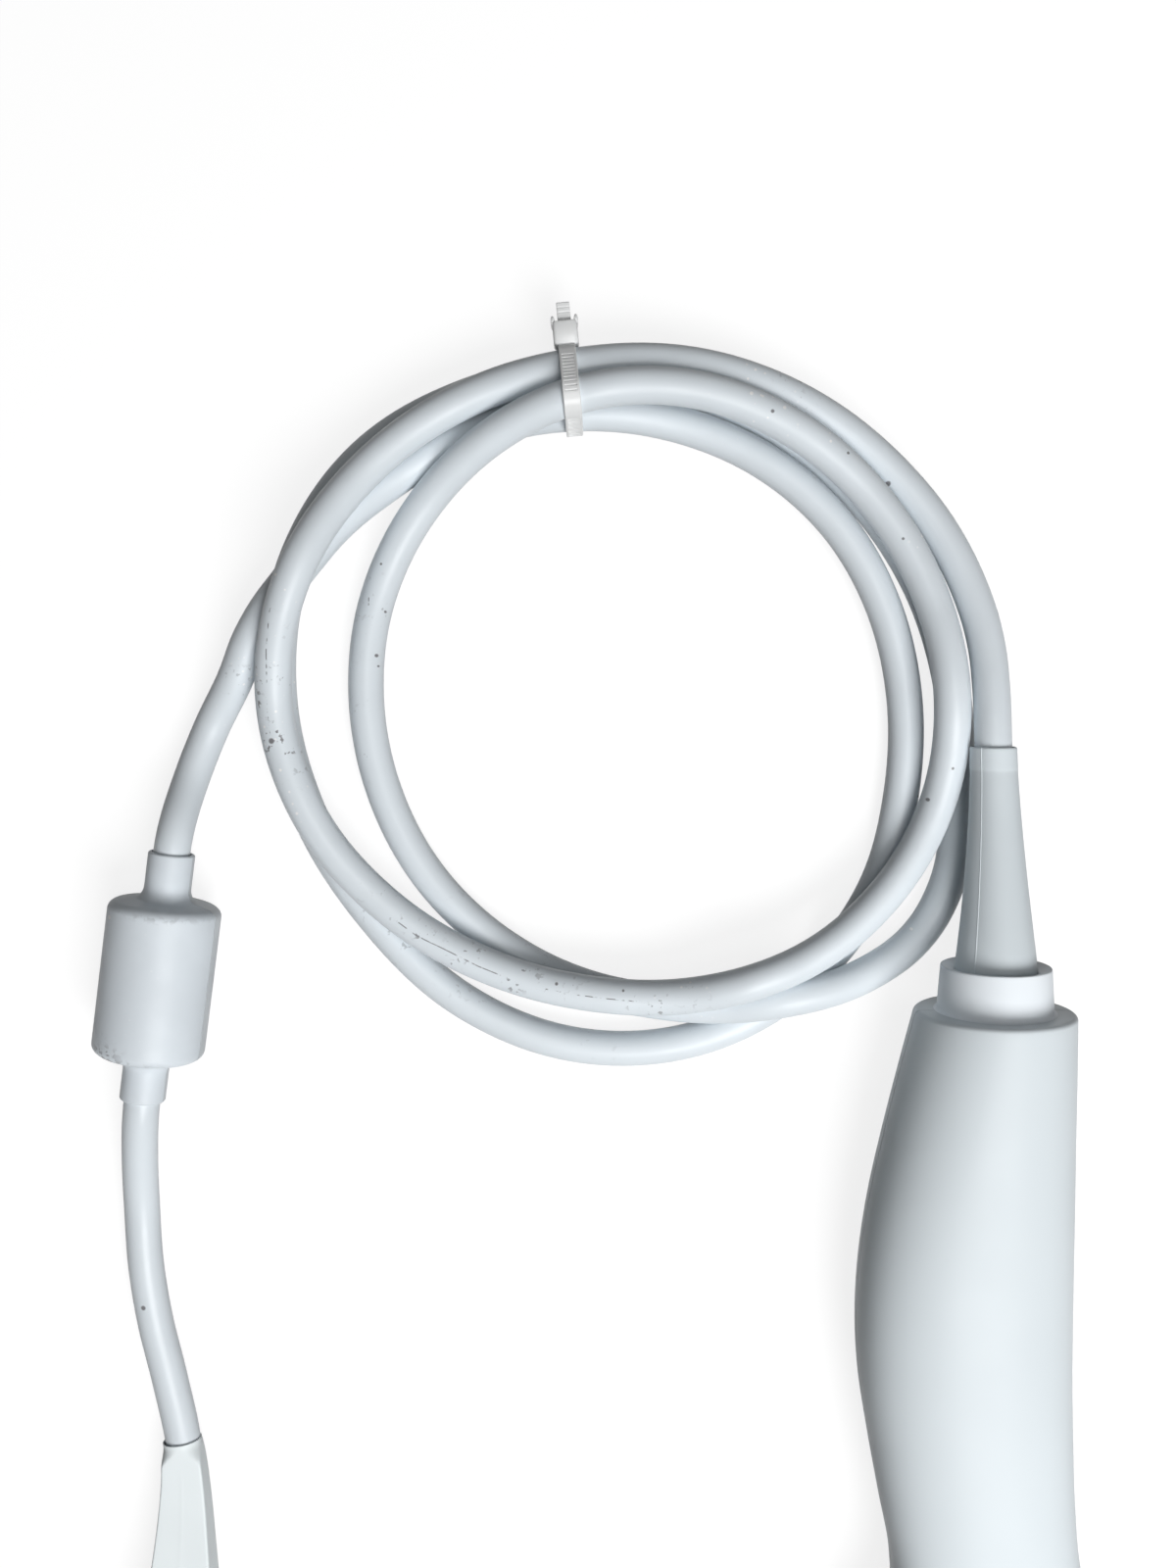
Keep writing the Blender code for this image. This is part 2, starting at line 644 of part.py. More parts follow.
def build_collar_and_boot(collar_plastic, rubber):
    angles = full_turn(COLLAR_STEPS)
    base = SHOULDER_Y + GAP
    tip = SHOULDER_Y + COLLAR_LENGTH
    floor = tip - COLLAR_RECESS
    outside = (
        (SHOULDER_Y - WALL - COLLAR_SPIGOT_DEPTH, SPIGOT_RADIUS),
        (base - GAP / 2, SPIGOT_RADIUS),
        (base, COLLAR_RADIUS + COLLAR_FILLET),
        (base + COLLAR_FILLET, COLLAR_RADIUS),
        (tip - COLLAR_EDGE, COLLAR_FRONT_RADIUS),
        (tip - COLLAR_EDGE * 0.4, COLLAR_FRONT_RADIUS - COLLAR_EDGE * 0.3),
        (tip, COLLAR_FRONT_RADIUS - COLLAR_EDGE),
    )
    root = BOOT_ROOT_RADIUS + GAP
    well = BOOT_FLANGE_RADIUS + GAP
    throat = well - BOOT_FLANGE_LIP
    inside = (
        (outside[0][0], throat),
        (outside[1][0], throat),
        (base + BOOT_FLANGE_START - COLLAR_FILLET, throat),
        (base + BOOT_FLANGE_START, well),
        (floor - COLLAR_RECESS, well),
        (floor, root + COLLAR_RECESS),
        (tip, root + COLLAR_RECESS + COLLAR_FILLET),
    )
    outer = [round_row((AXIS_X, y, AXIS_HEIGHT), r, angles) for y, r in outside]
    inner = [round_row((AXIS_X, y, AXIS_HEIGHT), r, angles) for y, r in inside]
    wall_between("collar_ring", outer, inner, collar_plastic)
    length = BOOT_MOUTH_Y - tip
    flange_start = base + BOOT_FLANGE_START + GAP
    flange_end = floor - COLLAR_RECESS - GAP
    rows = [(flange_start, BOOT_FLANGE_RADIUS - BOOT_EDGE),
            (flange_start + BOOT_EDGE, BOOT_FLANGE_RADIUS),
            (flange_end - BOOT_EDGE, BOOT_FLANGE_RADIUS),
            (flange_end, BOOT_ROOT_RADIUS)]
    for t in np.linspace(0.0, 1.0, BOOT_SECTIONS):
        y = tip + (length - BOOT_EDGE) * t
        flare = (BOOT_ROOT_RADIUS - BOOT_MOUTH_RADIUS) * (1 - t) ** BOOT_TAPER_POWER
        rows.append((y, BOOT_MOUTH_RADIUS + flare))
    rows.append((BOOT_MOUTH_Y, BOOT_MOUTH_RADIUS - BOOT_EDGE))
    angles = full_turn(BOOT_STEPS)
    bore = CABLE_DIAMETER / 2 + CABLE_CLEARANCE
    outer = [round_row((boot_axis(y), y, AXIS_HEIGHT), r, angles) for y, r in rows]
    inner = [round_row((boot_axis(y), y, AXIS_HEIGHT), bore, angles) for y, r in rows]
    wall_between("strain_relief_boot", outer, inner, rubber)


# The coil's route from the handle's boot round to the ferrite, counted in degrees round the
# coil's centre, radius and height in millimetres, read off the photo one strand at a time
COIL_ROUTE = (
    (-8, 75.4, 17.5), (0, 74.9, 16.2), (10, 75.0, 13.4), (20, 74.6, 10.6), (30, 73.9, 8.9),
    (40, 72.8, 8.6), (60, 71.3, 10.1), (80, 70.6, 11.7), (100, 70.2, 13.9), (120, 72.4, 12.4),
    (140, 74.6, 14.5), (160, 76.2, 20.2), (180, 78.0, 13.2), (200, 75.4, 12.2), (220, 71.2, 10.6),
    (240, 67.5, 11.1), (260, 65.6, 12.3), (280, 65.9, 13.8), (292, 66.2, 16.8), (304, 67.8, 14.6),
    (320, 68.9, 12.3), (340, 69.1, 11.2), (360, 66.6, 16.2), (380, 65.9, 12.6), (400, 65.2, 12.5),
    (420, 64.8, 15.2), (440, 64.7, 17.4), (460, 63.7, 19.2), (480, 62.7, 13.5), (500, 61.7, 6.6),
    (520, 60.6, 4.0), (540, 59.6, 4.0), (560, 59.7, 4.0), (580, 61.0, 4.0), (600, 63.0, 4.0),
    (620, 66.0, 4.0), (632, 68.1, 4.5), (644, 70.6, 8.4), (656, 73.6, 12.4), (668, 79.0, 9.0),
    (680, 82.6, 4.4), (690, 80.6, 4.0), (700, 75.9, 4.0), (710, 72.2, 4.0), (720, 69.8, 4.0),
    (740, 66.8, 4.0), (760, 65.4, 4.0), (780, 65.6, 4.0), (800, 67.2, 4.2), (820, 70.0, 5.95),
    (840, 74.5, 4.1), (860, 78.9, 4.0), (880, 80.1, 4.0), (900, 78.8, 4.0), (920, 77.1, 4.0),
    (940, 76.4, 4.0), (960, 78.4, 4.0), (980, 79.5, 4.0), (1000, 78.2, 4.0), (1020, 74.2, 4.0),
    (1040, 68.8, 4.0), (1060, 62.6, 4.0), (1080, 59.0, 4.2), (1100, 57.3, 5.3), (1120, 57.0, 6.2),
    (1140, 57.5, 6.1), (1160, 59.0, 5.6), (1180, 61.7, 7.1), (1200, 66.3, 5.7), (1220, 70.9, 6.7),
    (1230, 74.2, 9.9), (1240, 77.6, 12.1), (1250, 83.3, 11.2), (1260, 88.6, 7.2),
)

# From the coil to the ferrite, and from the ferrite to the connector: x, y and height, in
# millimetres, chosen by hand along the photo's cable
TO_FERRITE = ((-172.7, 117.0, 4.3), (-176.3, 107.5, 5.8))
TO_CONNECTOR = ((-189.5, 22.0, 8.0), (-190.4, 9.0, 4.6), (-190.0, -5.0, 4.0), (-188.2, -18.0, 4.0),
                (-185.2, -31.0, 4.4))


def ferrite_axis():
    return np.array([-sin(radians(FERRITE_TILT)), -cos(radians(FERRITE_TILT))])


def ferrite_point(distance):
    """A point on the ferrite's axis, a distance below its upper mouth."""
    flat = np.array(FERRITE_TOP) + ferrite_axis() * distance
    return np.array([flat[0], flat[1], FERRITE_RADIUS])


def coil_points(angles):
    knots = [row[0] for row in COIL_ROUTE]
    values = smooth_values(knots, [row[1:] for row in COIL_ROUTE], angles)
    radius = values[:, 0] / 1000
    height = np.maximum(values[:, 1] / 1000, CABLE_DIAMETER / 2 + CABLE_LIFT)
    turn = np.radians(angles)
    return np.stack([COIL_X + radius * np.cos(turn), COIL_Y + radius * np.sin(turn), height], axis=-1)


def cable_route():
    """The cable's points from the ferrule in the handle to the clamp in the connector."""
    start = cable_start_y()
    straight = [(boot_axis(y), y, AXIS_HEIGHT) for y in np.linspace(start, BOOT_MOUTH_Y, 5)]
    coil = coil_points(np.arange(2.0, 1261.0, COIL_STEP))
    rows = [np.array(straight), coil, np.array(TO_FERRITE) / 1000]
    rows.append(np.array([ferrite_point(d)
                          for d in (-FERRITE_CABLE_LEAD, FERRITE_LENGTH + FERRITE_CABLE_LEAD)]))
    rows.append(np.array(TO_CONNECTOR) / 1000)
    inside_boot = list(plug_boot_steps()[1:]) + [PLUG_BOOT_LENGTH + CABLE_TAIL]
    rows.append(np.array([plug_point(d) for d in inside_boot]))
    return np.concatenate(rows)


def build_cable(rubber):
    route = cable_route()
    line = bpy.data.curves.new("cable", "CURVE")
    line.dimensions = "3D"
    line.bevel_depth = CABLE_DIAMETER / 2
    line.bevel_resolution = 2
    line.use_fill_caps = True
    spline = line.splines.new("POLY")
    spline.points.add(len(route) - 1)
    for point, place in zip(spline.points, route):
        point.co = (*place, 1.0)
    line.materials.append(rubber)
    thing = bpy.data.objects.new("cable", line)
    bpy.context.scene.collection.objects.link(thing)
    return thing


def ferrite_profile():
    """Outer radius along the ferrite case: neck, rounded body and foot."""
    body_start = FERRITE_NECK
    body_end = FERRITE_NECK + FERRITE_BODY
    quarter = np.linspace(0.0, pi / 2, 4)
    rows = [(0.0, FERRITE_NECK_RADIUS - FERRITE_EDGE), (FERRITE_EDGE, FERRITE_NECK_RADIUS)]
    for a in quarter:
        rows.append((body_start - FERRITE_EDGE - FERRITE_FILLET_LENGTH * (1 - sin(a)),
                     FERRITE_NECK_RADIUS + FERRITE_FILLET_RISE * (1 - cos(a))))
    for a in quarter:
        rows.append((body_start + FERRITE_CORNER_LENGTH * (1 - cos(a)),
                     FERRITE_RADIUS - FERRITE_CORNER * (1 - sin(a))))
    for a in quarter:
        rows.append((body_end - FERRITE_CORNER_LENGTH * (1 - sin(a)),
                     FERRITE_RADIUS - FERRITE_CORNER * (1 - cos(a))))
    for a in quarter[::-1]:
        rows.append((body_end + FERRITE_EDGE + FERRITE_FILLET_LENGTH * (1 - sin(a)),
                     FERRITE_FOOT_RADIUS + FERRITE_FILLET_RISE * (1 - cos(a))))
    rows.append((FERRITE_LENGTH - FERRITE_EDGE, FERRITE_FOOT_RADIUS))
    rows.append((FERRITE_LENGTH, FERRITE_FOOT_RADIUS - FERRITE_EDGE))
    return rows


def build_ferrite(case, ceramic):
    axis = ferrite_axis()
    bore = CABLE_DIAMETER / 2 + CABLE_CLEARANCE
    cavity = FERRITE_RADIUS - FERRITE_WALL
    cavity_start = FERRITE_NECK + FERRITE_WALL
    cavity_end = FERRITE_NECK + FERRITE_BODY - FERRITE_WALL
    profile = ferrite_profile()
    step = GAP
    extra = [cavity_start, cavity_start + step, cavity_end - step, cavity_end]
    distances = [row[0] for row in profile]
    along = sorted(distances + extra)
    radii = np.interp(along, distances, [row[1] for row in profile])
    for name, side in (("ferrite_case_upper", 1), ("ferrite_case_lower", -1)):
        slit = PARTING_GAP / 2 / FERRITE_RADIUS
        turn = radians(FERRITE_PARTING)
        angles = np.linspace(slit, pi - slit, FERRITE_ARC_STEPS + 1) * side + turn
        outer = []
        inner = []
        for distance, radius in zip(along, radii):
            centre = ferrite_point(distance)
            hollow = cavity if cavity_start + step / 2 < distance < cavity_end - step / 2 else bore
            outer.append(round_row(centre, radius, angles, -axis))
            inner.append(round_row(centre, hollow, angles, -axis))
        wall_between(name, outer, inner, case, closed=False)
    ends = (cavity_start + step + GAP, cavity_end - step - GAP)
    outer = [round_row(ferrite_point(d), cavity - GAP, full_turn(), -axis) for d in ends]
    inner = [round_row(ferrite_point(d), bore, full_turn(), -axis) for d in ends]
    wall_between("ferrite_core", outer, inner, ceramic)


def convex_outline(points):
    """The convex hull of flat points, anticlockwise."""
    points = sorted(map(tuple, points))

    def half(ordered):
        chain = []
        for p in ordered:
            while len(chain) > 1:
                (ax, ay), (bx, by) = chain[-2], chain[-1]
                if (bx - ax) * (p[1] - ay) - (by - ay) * (p[0] - ax) > 0:
                    break
                chain.pop()
            chain.append(p)
        return chain[:-1]

    return np.array(half(points) + half(points[::-1]))


def build_tie(nylon):
    """A strap round the four strands, with its head on the outer side and a short cut tail."""
    turn = radians(TIE_ANGLE)
    lean = turn - radians(TIE_SKEW)
    out = np.array([cos(lean), sin(lean)])
    side = np.array([-out[1], out[0]])
    strands = coil_points(np.array([TIE_ANGLE + 360 * k for k in range(4)]))
    around = CABLE_DIAMETER / 2 + TIE_CLEARANCE
    middle = np.array([COIL_X, COIL_Y]) + TIE_REACH * np.array([cos(turn), sin(turn)])
    flat = [((p[:2] - middle) @ out, p[2]) for p in strands]
    loops = []
    for radius in (around, around + TIE_THICKNESS):
        ring = [(u + radius * cos(a), z + radius * sin(a)) for u, z in flat for a in full_turn(32)]
        loops.append(convex_outline(ring))
    centre = np.mean(flat, axis=0)
    rows = []
    for loop in loops:
        angles = np.arctan2(loop[:, 1] - centre[1], loop[:, 0] - centre[0])
        order = np.argsort(angles)
        closed = np.concatenate([loop[order], loop[order][:1]])
        turns = np.append(angles[order], angles[order][0] + 2 * pi)
        at = np.linspace(-pi, pi, 48, endpoint=False)
        at = np.where(at < turns[0], at + 2 * pi, at)
        rows.append(np.stack([np.interp(at, turns, closed[:, k]) for k in (0, 1)], axis=-1))

    def place(u, z, across):
        flat_place = middle + out * u + side * across
        return (flat_place[0], flat_place[1], z)

    strap = []
    for loop in (rows[0], rows[1]):
        strap.append([[place(u, z, a) for u, z in loop] for a in (-TIE_WIDTH / 2, TIE_WIDTH / 2)])
    band = wall_between("cable_tie", strap[1], strap[0], nylon)
    reach = max(u for u, z in rows[1])
    level = flat[0][1] - TIE_HEAD_DROP

    def beam(name, u_low, u_high, half_width, z_low, z_high):
        corners = []
        for z in (z_low, z_high):
            ring = [place(u, z, a) for u, a in ((u_low, -half_width), (u_high, -half_width),
                                                (u_high, half_width), (u_low, half_width))]
            corners.append(ring)
        return solid_loft(name, corners, nylon)

    head_end = reach + TIE_HEAD_DEPTH
    head = beam("tie_head", reach - TIE_THICKNESS / 2, head_end, TIE_HEAD_WIDTH / 2,
                level - TIE_HEAD_HEIGHT / 2, level + TIE_HEAD_HEIGHT / 2)
    tail = beam("tie_tail", head_end - TIE_THICKNESS, head_end + TIE_TAIL_LENGTH,
                TIE_TAIL_WIDTH / 2, level - TIE_THICKNESS / 2, level + TIE_THICKNESS / 2)
    combine(band, head, "UNION")
    combine(band, tail, "UNION")
    return band


def plug_point(distance):
    """The cable's middle line in the connector's boot, a distance in from the boot's mouth."""
    share = min(max(distance / PLUG_BOOT_LENGTH, 0.0), 1.0)
    ease = share * share * (3 - 2 * share)
    height = PLUG_MOUTH_HEIGHT + (PLUG_HEIGHT / 2 - PLUG_MOUTH_HEIGHT) * ease
    bend = PLUG_BOOT_BEND * (1.0 - share) ** 2
    return np.array([PLUG_X - bend, PLUG_BOOT_Y - distance, height])


def plug_boot_squareness(distance):
    """The boot's section is round at its mouth and soon a rectangle with rounded edges."""
    return 2.0 + 2.6 * min(distance / PLUG_BOOT_ROUND, 1.0)


def plug_boot_steps():
    """Distances in from the boot's mouth at which the boot and the cable in it bend."""
    return np.concatenate([[0.0, PLUG_EDGE], np.linspace(PLUG_BOOT_ROUND / 2, PLUG_BOOT_LENGTH, 6)])


def build_connector(plastic, rubber, board, steel, contact, shield):
    angles = full_turn()
    bore = CABLE_DIAMETER / 2 + CABLE_CLEARANCE
    outer = []
    inner = []
    for distance in plug_boot_steps():
        share = distance / PLUG_BOOT_LENGTH
        ease = share * share * (3 - 2 * share)
        centre = plug_point(distance)
        mouth = PLUG_MOUTH_RADIUS - (GAP if distance == 0.0 else 0.0)
        half_width = mouth + PLUG_BOOT_SPREAD_X * ease
        half_height = mouth + PLUG_BOOT_SPREAD_Z * ease
        across, up = oval(half_width, half_height, plug_boot_squareness(distance), angles)
        row = np.stack([centre[0] + across, np.full_like(across, centre[1]), centre[2] + up], axis=-1)
        outer.append(row)
        inner.append(round_row(centre, bore, angles))
    wall_between("connector_boot", outer, inner, rubber)

    near = PLUG_BOOT_Y - PLUG_BOOT_LENGTH - GAP
    far = near - PLUG_LENGTH
    half = PLUG_WIDTH / 2
    middle = PLUG_HEIGHT / 2
    shells = {}
    for name, side in (("connector_shell_upper", 1), ("connector_shell_lower", -1)):
        arc = np.linspace(0.0, pi, PLUG_ARC_STEPS + 1) * side
        lift = PARTING_GAP / 2
        outer = []
        inner = []
        front_wall = PLUG_LENGTH - PLUG_WALL
        shoulder = [PLUG_SHOULDER_LENGTH * share for share in (0.34, 0.56, 0.78, 1.0)]
        distances = [0.0, PLUG_EDGE, PLUG_WALL - GAP / 2, PLUG_WALL + GAP / 2, *shoulder,
                     front_wall - GAP / 2, front_wall + GAP / 2, PLUG_LENGTH - PLUG_EDGE, PLUG_LENGTH]
        for distance in distances:
            close = 1.0 - min(distance / PLUG_SHOULDER_LENGTH, 1.0)
            pull = PLUG_SHOULDER_PULL * close**2
            thin = PLUG_SHOULDER_DROP * close**2
            ends = PLUG_EDGE if distance in (0.0, PLUG_LENGTH) else 0.0
            across, up = oval(half - pull - ends, middle - thin - ends, 5.0, arc)
            inside, inside_up = oval(half - pull - PLUG_WALL, middle - thin - PLUG_WALL, 5.0, arc)
            if distance < PLUG_WALL:
                inside, inside_up = bore * np.cos(arc), bore * np.sin(arc)
            if distance > front_wall:
                inside, inside_up = oval(SHROUD_HALF_WIDTH + GAP, SHROUD_HALF_HEIGHT + GAP, 6.0, arc)
            y = near - distance
            for target, a, u in ((outer, across, up), (inner, inside, inside_up)):
                u = side * np.maximum(np.abs(u), lift)
                target.append(np.stack([PLUG_X + a, np.full_like(a, y), middle + u], axis=-1))
        shells[name] = wall_between(name, outer, inner, plastic, closed=False)

    build_connector_inside(shells, near, far, half - PLUG_WALL, board, steel, contact, shield)


def round_between(name, near, far, radius, finish):
    """A round bar between two points of the connector's axis."""
    rows = [round_row((PLUG_X, y, PLUG_HEIGHT / 2), radius, full_turn()) for y in (near, far)]
    return solid_loft(name, rows, finish)


def contact_tongue(name, near, far, half_width, finish):
    """The blade that carries the contacts: its outline has one groove for each contact."""
    start = -CONTACT_PITCH * CONTACT_COUNT / 2
    outline = [(-half_width, 0.0)]
    for i in range(CONTACT_COUNT):
        x = start + i * CONTACT_PITCH
        outline += [(x, TONGUE_HALF_HEIGHT), (x + CONTACT_PITCH / 2, TONGUE_HALF_HEIGHT),
                    (x + CONTACT_PITCH / 2, TONGUE_HALF_HEIGHT - CONTACT_DEPTH),
                    (x + CONTACT_PITCH, TONGUE_HALF_HEIGHT - CONTACT_DEPTH)]
    outline.append((half_width, 0.0))
    outline += [(x, -z) for x, z in outline[-2:0:-1]]
    middle = PLUG_HEIGHT / 2
    rows = [[(PLUG_X + x, y, middle + z) for x, z in outline] for y in (near, far)]
    return solid_loft(name, rows, finish)


def build_connector_inside(shells, near, far, inside, board, steel, contact, shield):
    middle = PLUG_HEIGHT / 2
    board_low = middle - PLUG_BOARD_THICKNESS / 2
    board_high = middle + PLUG_BOARD_THICKNESS / 2
    shroud_back = far + SHROUD_DEPTH
    angles = full_turn(SHROUD_STEPS)
    outer = []
    inner = []
    shroud_front = far - SHROUD_LENGTH
    for y in (shroud_back, shroud_front):
        for target, thin in ((outer, 0.0), (inner, SHROUD_WALL)):
            across, up = oval(SHROUD_HALF_WIDTH - thin, SHROUD_HALF_HEIGHT - thin, 6.0, angles)
            target.append(np.stack([PLUG_X + across, np.full_like(across, y), middle + up], axis=-1))
    wall_between("connector_shroud", outer, inner, shield)

    rows = []
    for y in (shroud_back, far + CONTACT_BLOCK_SETBACK):
        thin = SHROUD_WALL + GAP
        across, up = oval(SHROUD_HALF_WIDTH - thin, SHROUD_HALF_HEIGHT - thin, 6.0, angles)
        rows.append(np.stack([PLUG_X + across, np.full_like(across, y), middle + up], axis=-1))
    block_body = solid_loft("contact_block", rows, contact)
    tongue = contact_tongue("contact_tongue", far + TONGUE_ROOT, shroud_front + TONGUE_SETBACK,
                            CONTACT_PITCH * CONTACT_COUNT / 2 + TONGUE_MARGIN, contact)
    combine(block_body, tongue, "UNION")

    board_half = inside - BOARD_MARGIN
    plug_board = block("connector_board", (PLUG_X - board_half, shroud_back + GAP, board_low),
                       (PLUG_X + board_half, near - PLUG_BOARD_START, board_high), board)
    number = 0
    for y in (near - PLUG_BOARD_START - PLUG_SCREW_BACK, shroud_back + PLUG_SCREW_INSET):
        for side in (-1, 1):
            number += 1
            centre = (PLUG_X + side * PLUG_SCREW_X, y)
            seat = PLUG_WALL + PLUG_SCREW_SEAT
            lower = solid_loft("lower_boss_%d" % number, [
                round_z(centre, PLUG_BOSS_RADIUS, z) for z in (PLUG_WALL / 2, board_low - GAP)], contact)
            combine(shells["connector_shell_lower"], lower, "UNION")
            upper = solid_loft("upper_boss_%d" % number, [
                round_z(centre, PLUG_BOSS_RADIUS, z)
                for z in (board_high + GAP, PLUG_HEIGHT - PLUG_WALL / 2)], contact)
            combine(shells["connector_shell_upper"], upper, "UNION")
            hole = solid_loft("boss_hole_%d" % number, [
                round_z(centre, SCREW_SHANK_RADIUS + SCREW_CLEARANCE, z, SMALL_RING_STEPS)
                for z in (-CUT_OVERRUN, PLUG_HEIGHT - PLUG_SCREW_END)], contact)
            for thing in (shells["connector_shell_lower"], shells["connector_shell_upper"], plug_board):
                combine(thing, hole, "DIFFERENCE")
            sink = solid_loft("boss_sink_%d" % number, [
                round_z(centre, SCREW_HEAD_RADIUS + GAP, z) for z in (-CUT_OVERRUN, seat)], contact)
            combine(shells["connector_shell_lower"], sink, "DIFFERENCE")
            screw("connector_screw_%d" % number, centre, seat - GAP, -1, PLUG_SCREW_LENGTH, steel)

    clamp_near = near - PLUG_CLAMP_START
    bore = CABLE_DIAMETER / 2 + CABLE_CLEARANCE
    tube = bore + PLUG_CLAMP_WALL
    flange = tube + PLUG_CLAMP_FLANGE
    flange_end = PLUG_CLAMP_FLANGE_LENGTH + GAP
    outer = []
    inner = []
    for distance, radius in ((0.0, flange), (PLUG_CLAMP_FLANGE_LENGTH, flange), (flange_end, tube),
                             (PLUG_CLAMP_LENGTH, tube)):
        centre = (PLUG_X, clamp_near - distance, middle)
        outer.append(round_row(centre, radius, full_turn()))
        inner.append(round_row(centre, bore, full_turn()))
    wall_between("connector_cable_clamp", outer, inner, steel)
    rib_near = clamp_near - flange_end - GAP
    rib_far = rib_near - PLUG_RIB_LENGTH
    rib = block("clamp_rib", (PLUG_X - PLUG_RIB_HALF_WIDTH, rib_far, PLUG_WALL / 2),
                (PLUG_X + PLUG_RIB_HALF_WIDTH, rib_near, middle - GAP), contact)
    combine(shells["connector_shell_lower"], rib, "UNION")
    groove = round_between("clamp_rib_groove", rib_near + CUT_OVERRUN, rib_far - CUT_OVERRUN,
                           tube + GAP, contact)
    combine(shells["connector_shell_lower"], groove, "DIFFERENCE")

    cable_end = PLUG_BOOT_Y - PLUG_BOOT_LENGTH - CABLE_TAIL
    start = cable_end - GAP
    stop = near - PLUG_BOARD_START + GAP
    bundle = []
    for t in np.linspace(0.0, 1.0, 6):
        ease = t * t * (3 - 2 * t)
        across, up = bundle_section(ease)
        y = np.full_like(across, start + (stop - start) * t)
        bundle.append(np.stack([PLUG_X + across, y, middle + up], axis=-1))
    solid_loft("connector_core_bundle", bundle, steel)


def main():
    remove_everything()
    shell_plastic = material("shell plastic", (0.62, 0.63, 0.65), 0.45)
    collar_plastic = material("collar plastic", (0.60, 0.60, 0.63), 0.45)
    boot_rubber = material("boot rubber", (0.55, 0.57, 0.58), 0.55)
    cable_rubber = material("cable rubber", (0.60, 0.61, 0.63), 0.50)
    silicone = material("lens silicone", (0.30, 0.33, 0.36), 0.40)
    matching = material("matching resin", (0.18, 0.16, 0.14), 0.60)
    ceramic = material("ceramic", (0.10, 0.10, 0.11), 0.60)
    backing = material("backing", (0.05, 0.05, 0.05), 0.80)
    copper = material("copper braid", (0.70, 0.42, 0.28), 0.35, 1.0)
    steel = material("steel", (0.60, 0.60, 0.60), 0.35, 1.0)
    board = material("board", (0.05, 0.22, 0.10), 0.50)
    flexible = material("flex film", (0.60, 0.32, 0.10), 0.45)
    nylon = material("nylon", (0.82, 0.83, 0.83), 0.35)
    contact = material("contact plastic", (0.04, 0.04, 0.04), 0.50)

    handle_shell("handle_shell_upper", 1, shell_plastic)
    lower_shell = handle_shell("handle_shell_lower", -1, shell_plastic)
    depth, layer_height = build_nose(shell_plastic, silicone, matching, ceramic, backing)
    build_handle_inside(depth, layer_height, lower_shell, board, copper, contact, flexible)
    build_clamp(lower_shell, steel, shell_plastic)
    build_collar_and_boot(collar_plastic, boot_rubber)
    build_cable(cable_rubber)
    build_ferrite(shell_plastic, ceramic)
    build_tie(nylon)
    build_connector(shell_plastic, boot_rubber, board, steel, contact, steel)


main()
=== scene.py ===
"""Ultrasound transducer probe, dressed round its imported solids.

The handle lies on its broad side along Y, z = 0 is the table, and all sizes are in metres. Each
sub-assembly is a class that makes its surfaces with numpy and dresses them.
"""

import logging
from collections.abc import Sequence
from dataclasses import dataclass, field
from enum import Enum
from math import cos, pi, radians, sin

import bpy
import numpy as np
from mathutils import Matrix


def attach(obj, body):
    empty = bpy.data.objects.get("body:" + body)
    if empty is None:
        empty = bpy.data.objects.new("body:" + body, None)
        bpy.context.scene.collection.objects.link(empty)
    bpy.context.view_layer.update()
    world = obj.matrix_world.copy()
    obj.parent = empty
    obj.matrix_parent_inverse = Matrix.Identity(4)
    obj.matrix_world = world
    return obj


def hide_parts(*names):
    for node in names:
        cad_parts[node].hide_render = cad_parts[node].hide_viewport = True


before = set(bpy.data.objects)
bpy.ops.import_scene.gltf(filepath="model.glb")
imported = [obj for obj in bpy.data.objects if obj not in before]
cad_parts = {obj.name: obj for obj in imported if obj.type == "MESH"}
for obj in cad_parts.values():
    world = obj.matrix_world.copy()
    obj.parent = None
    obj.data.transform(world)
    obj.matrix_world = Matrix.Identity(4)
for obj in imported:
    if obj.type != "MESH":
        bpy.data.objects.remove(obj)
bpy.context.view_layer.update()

LOG = logging.getLogger("probe")
Array = np.ndarray
Thing = bpy.types.Object
Socket = bpy.types.NodeSocket

# What every piece shares
GAP = 0.0003
AXIS_HEIGHT = 0.0175
AXIS_X = -0.0020
SHOULDER_Y = 0.0573
CABLE_DIAMETER = 0.0078
CABLE_CLEARANCE = 0.0003
BORE = CABLE_DIAMETER / 2 + CABLE_CLEARANCE


# Where the cable is worn or dusty, seen from above in millimetres: x, y and reach, or x, y and
# radius for single dots
WORN_PLACES = ((-122, 70.5, 9), (-107, 64, 7), (-80, 59.5, 11), (-134, 79, 5), (-157, 124, 10),
               (-156, 111, 6), (-138, 113, 6), (-45, 190.4, 4), (-136.5, 147, 5))
DUSTY_PLACES = ((-158, 127, 9), (-158, 119, 7), (-154, 104, 6), (-55, 187, 6), (-50, 184.5, 5),
                (-39, 177.6, 3), (-54, 193, 3), (-18, 158, 4), (-68, 60, 6), (-152, 146, 4))
SCUFF_LINES = (
    ((-131, 76.3), (-126.3, 72.8), (-120, 69.8), (-113.3, 66.4), (-106.3, 63.6)),
    ((-99, 61.6), (-92.4, 60.4), (-86, 59.6), (-78, 58.9)),
    ((-155.2, 143), (-156.7, 134.2), (-157.4, 123.5), (-157.2, 119.3), (-156.7, 114)),
    ((-136.9, 148), (-137.0, 142.5)),
)
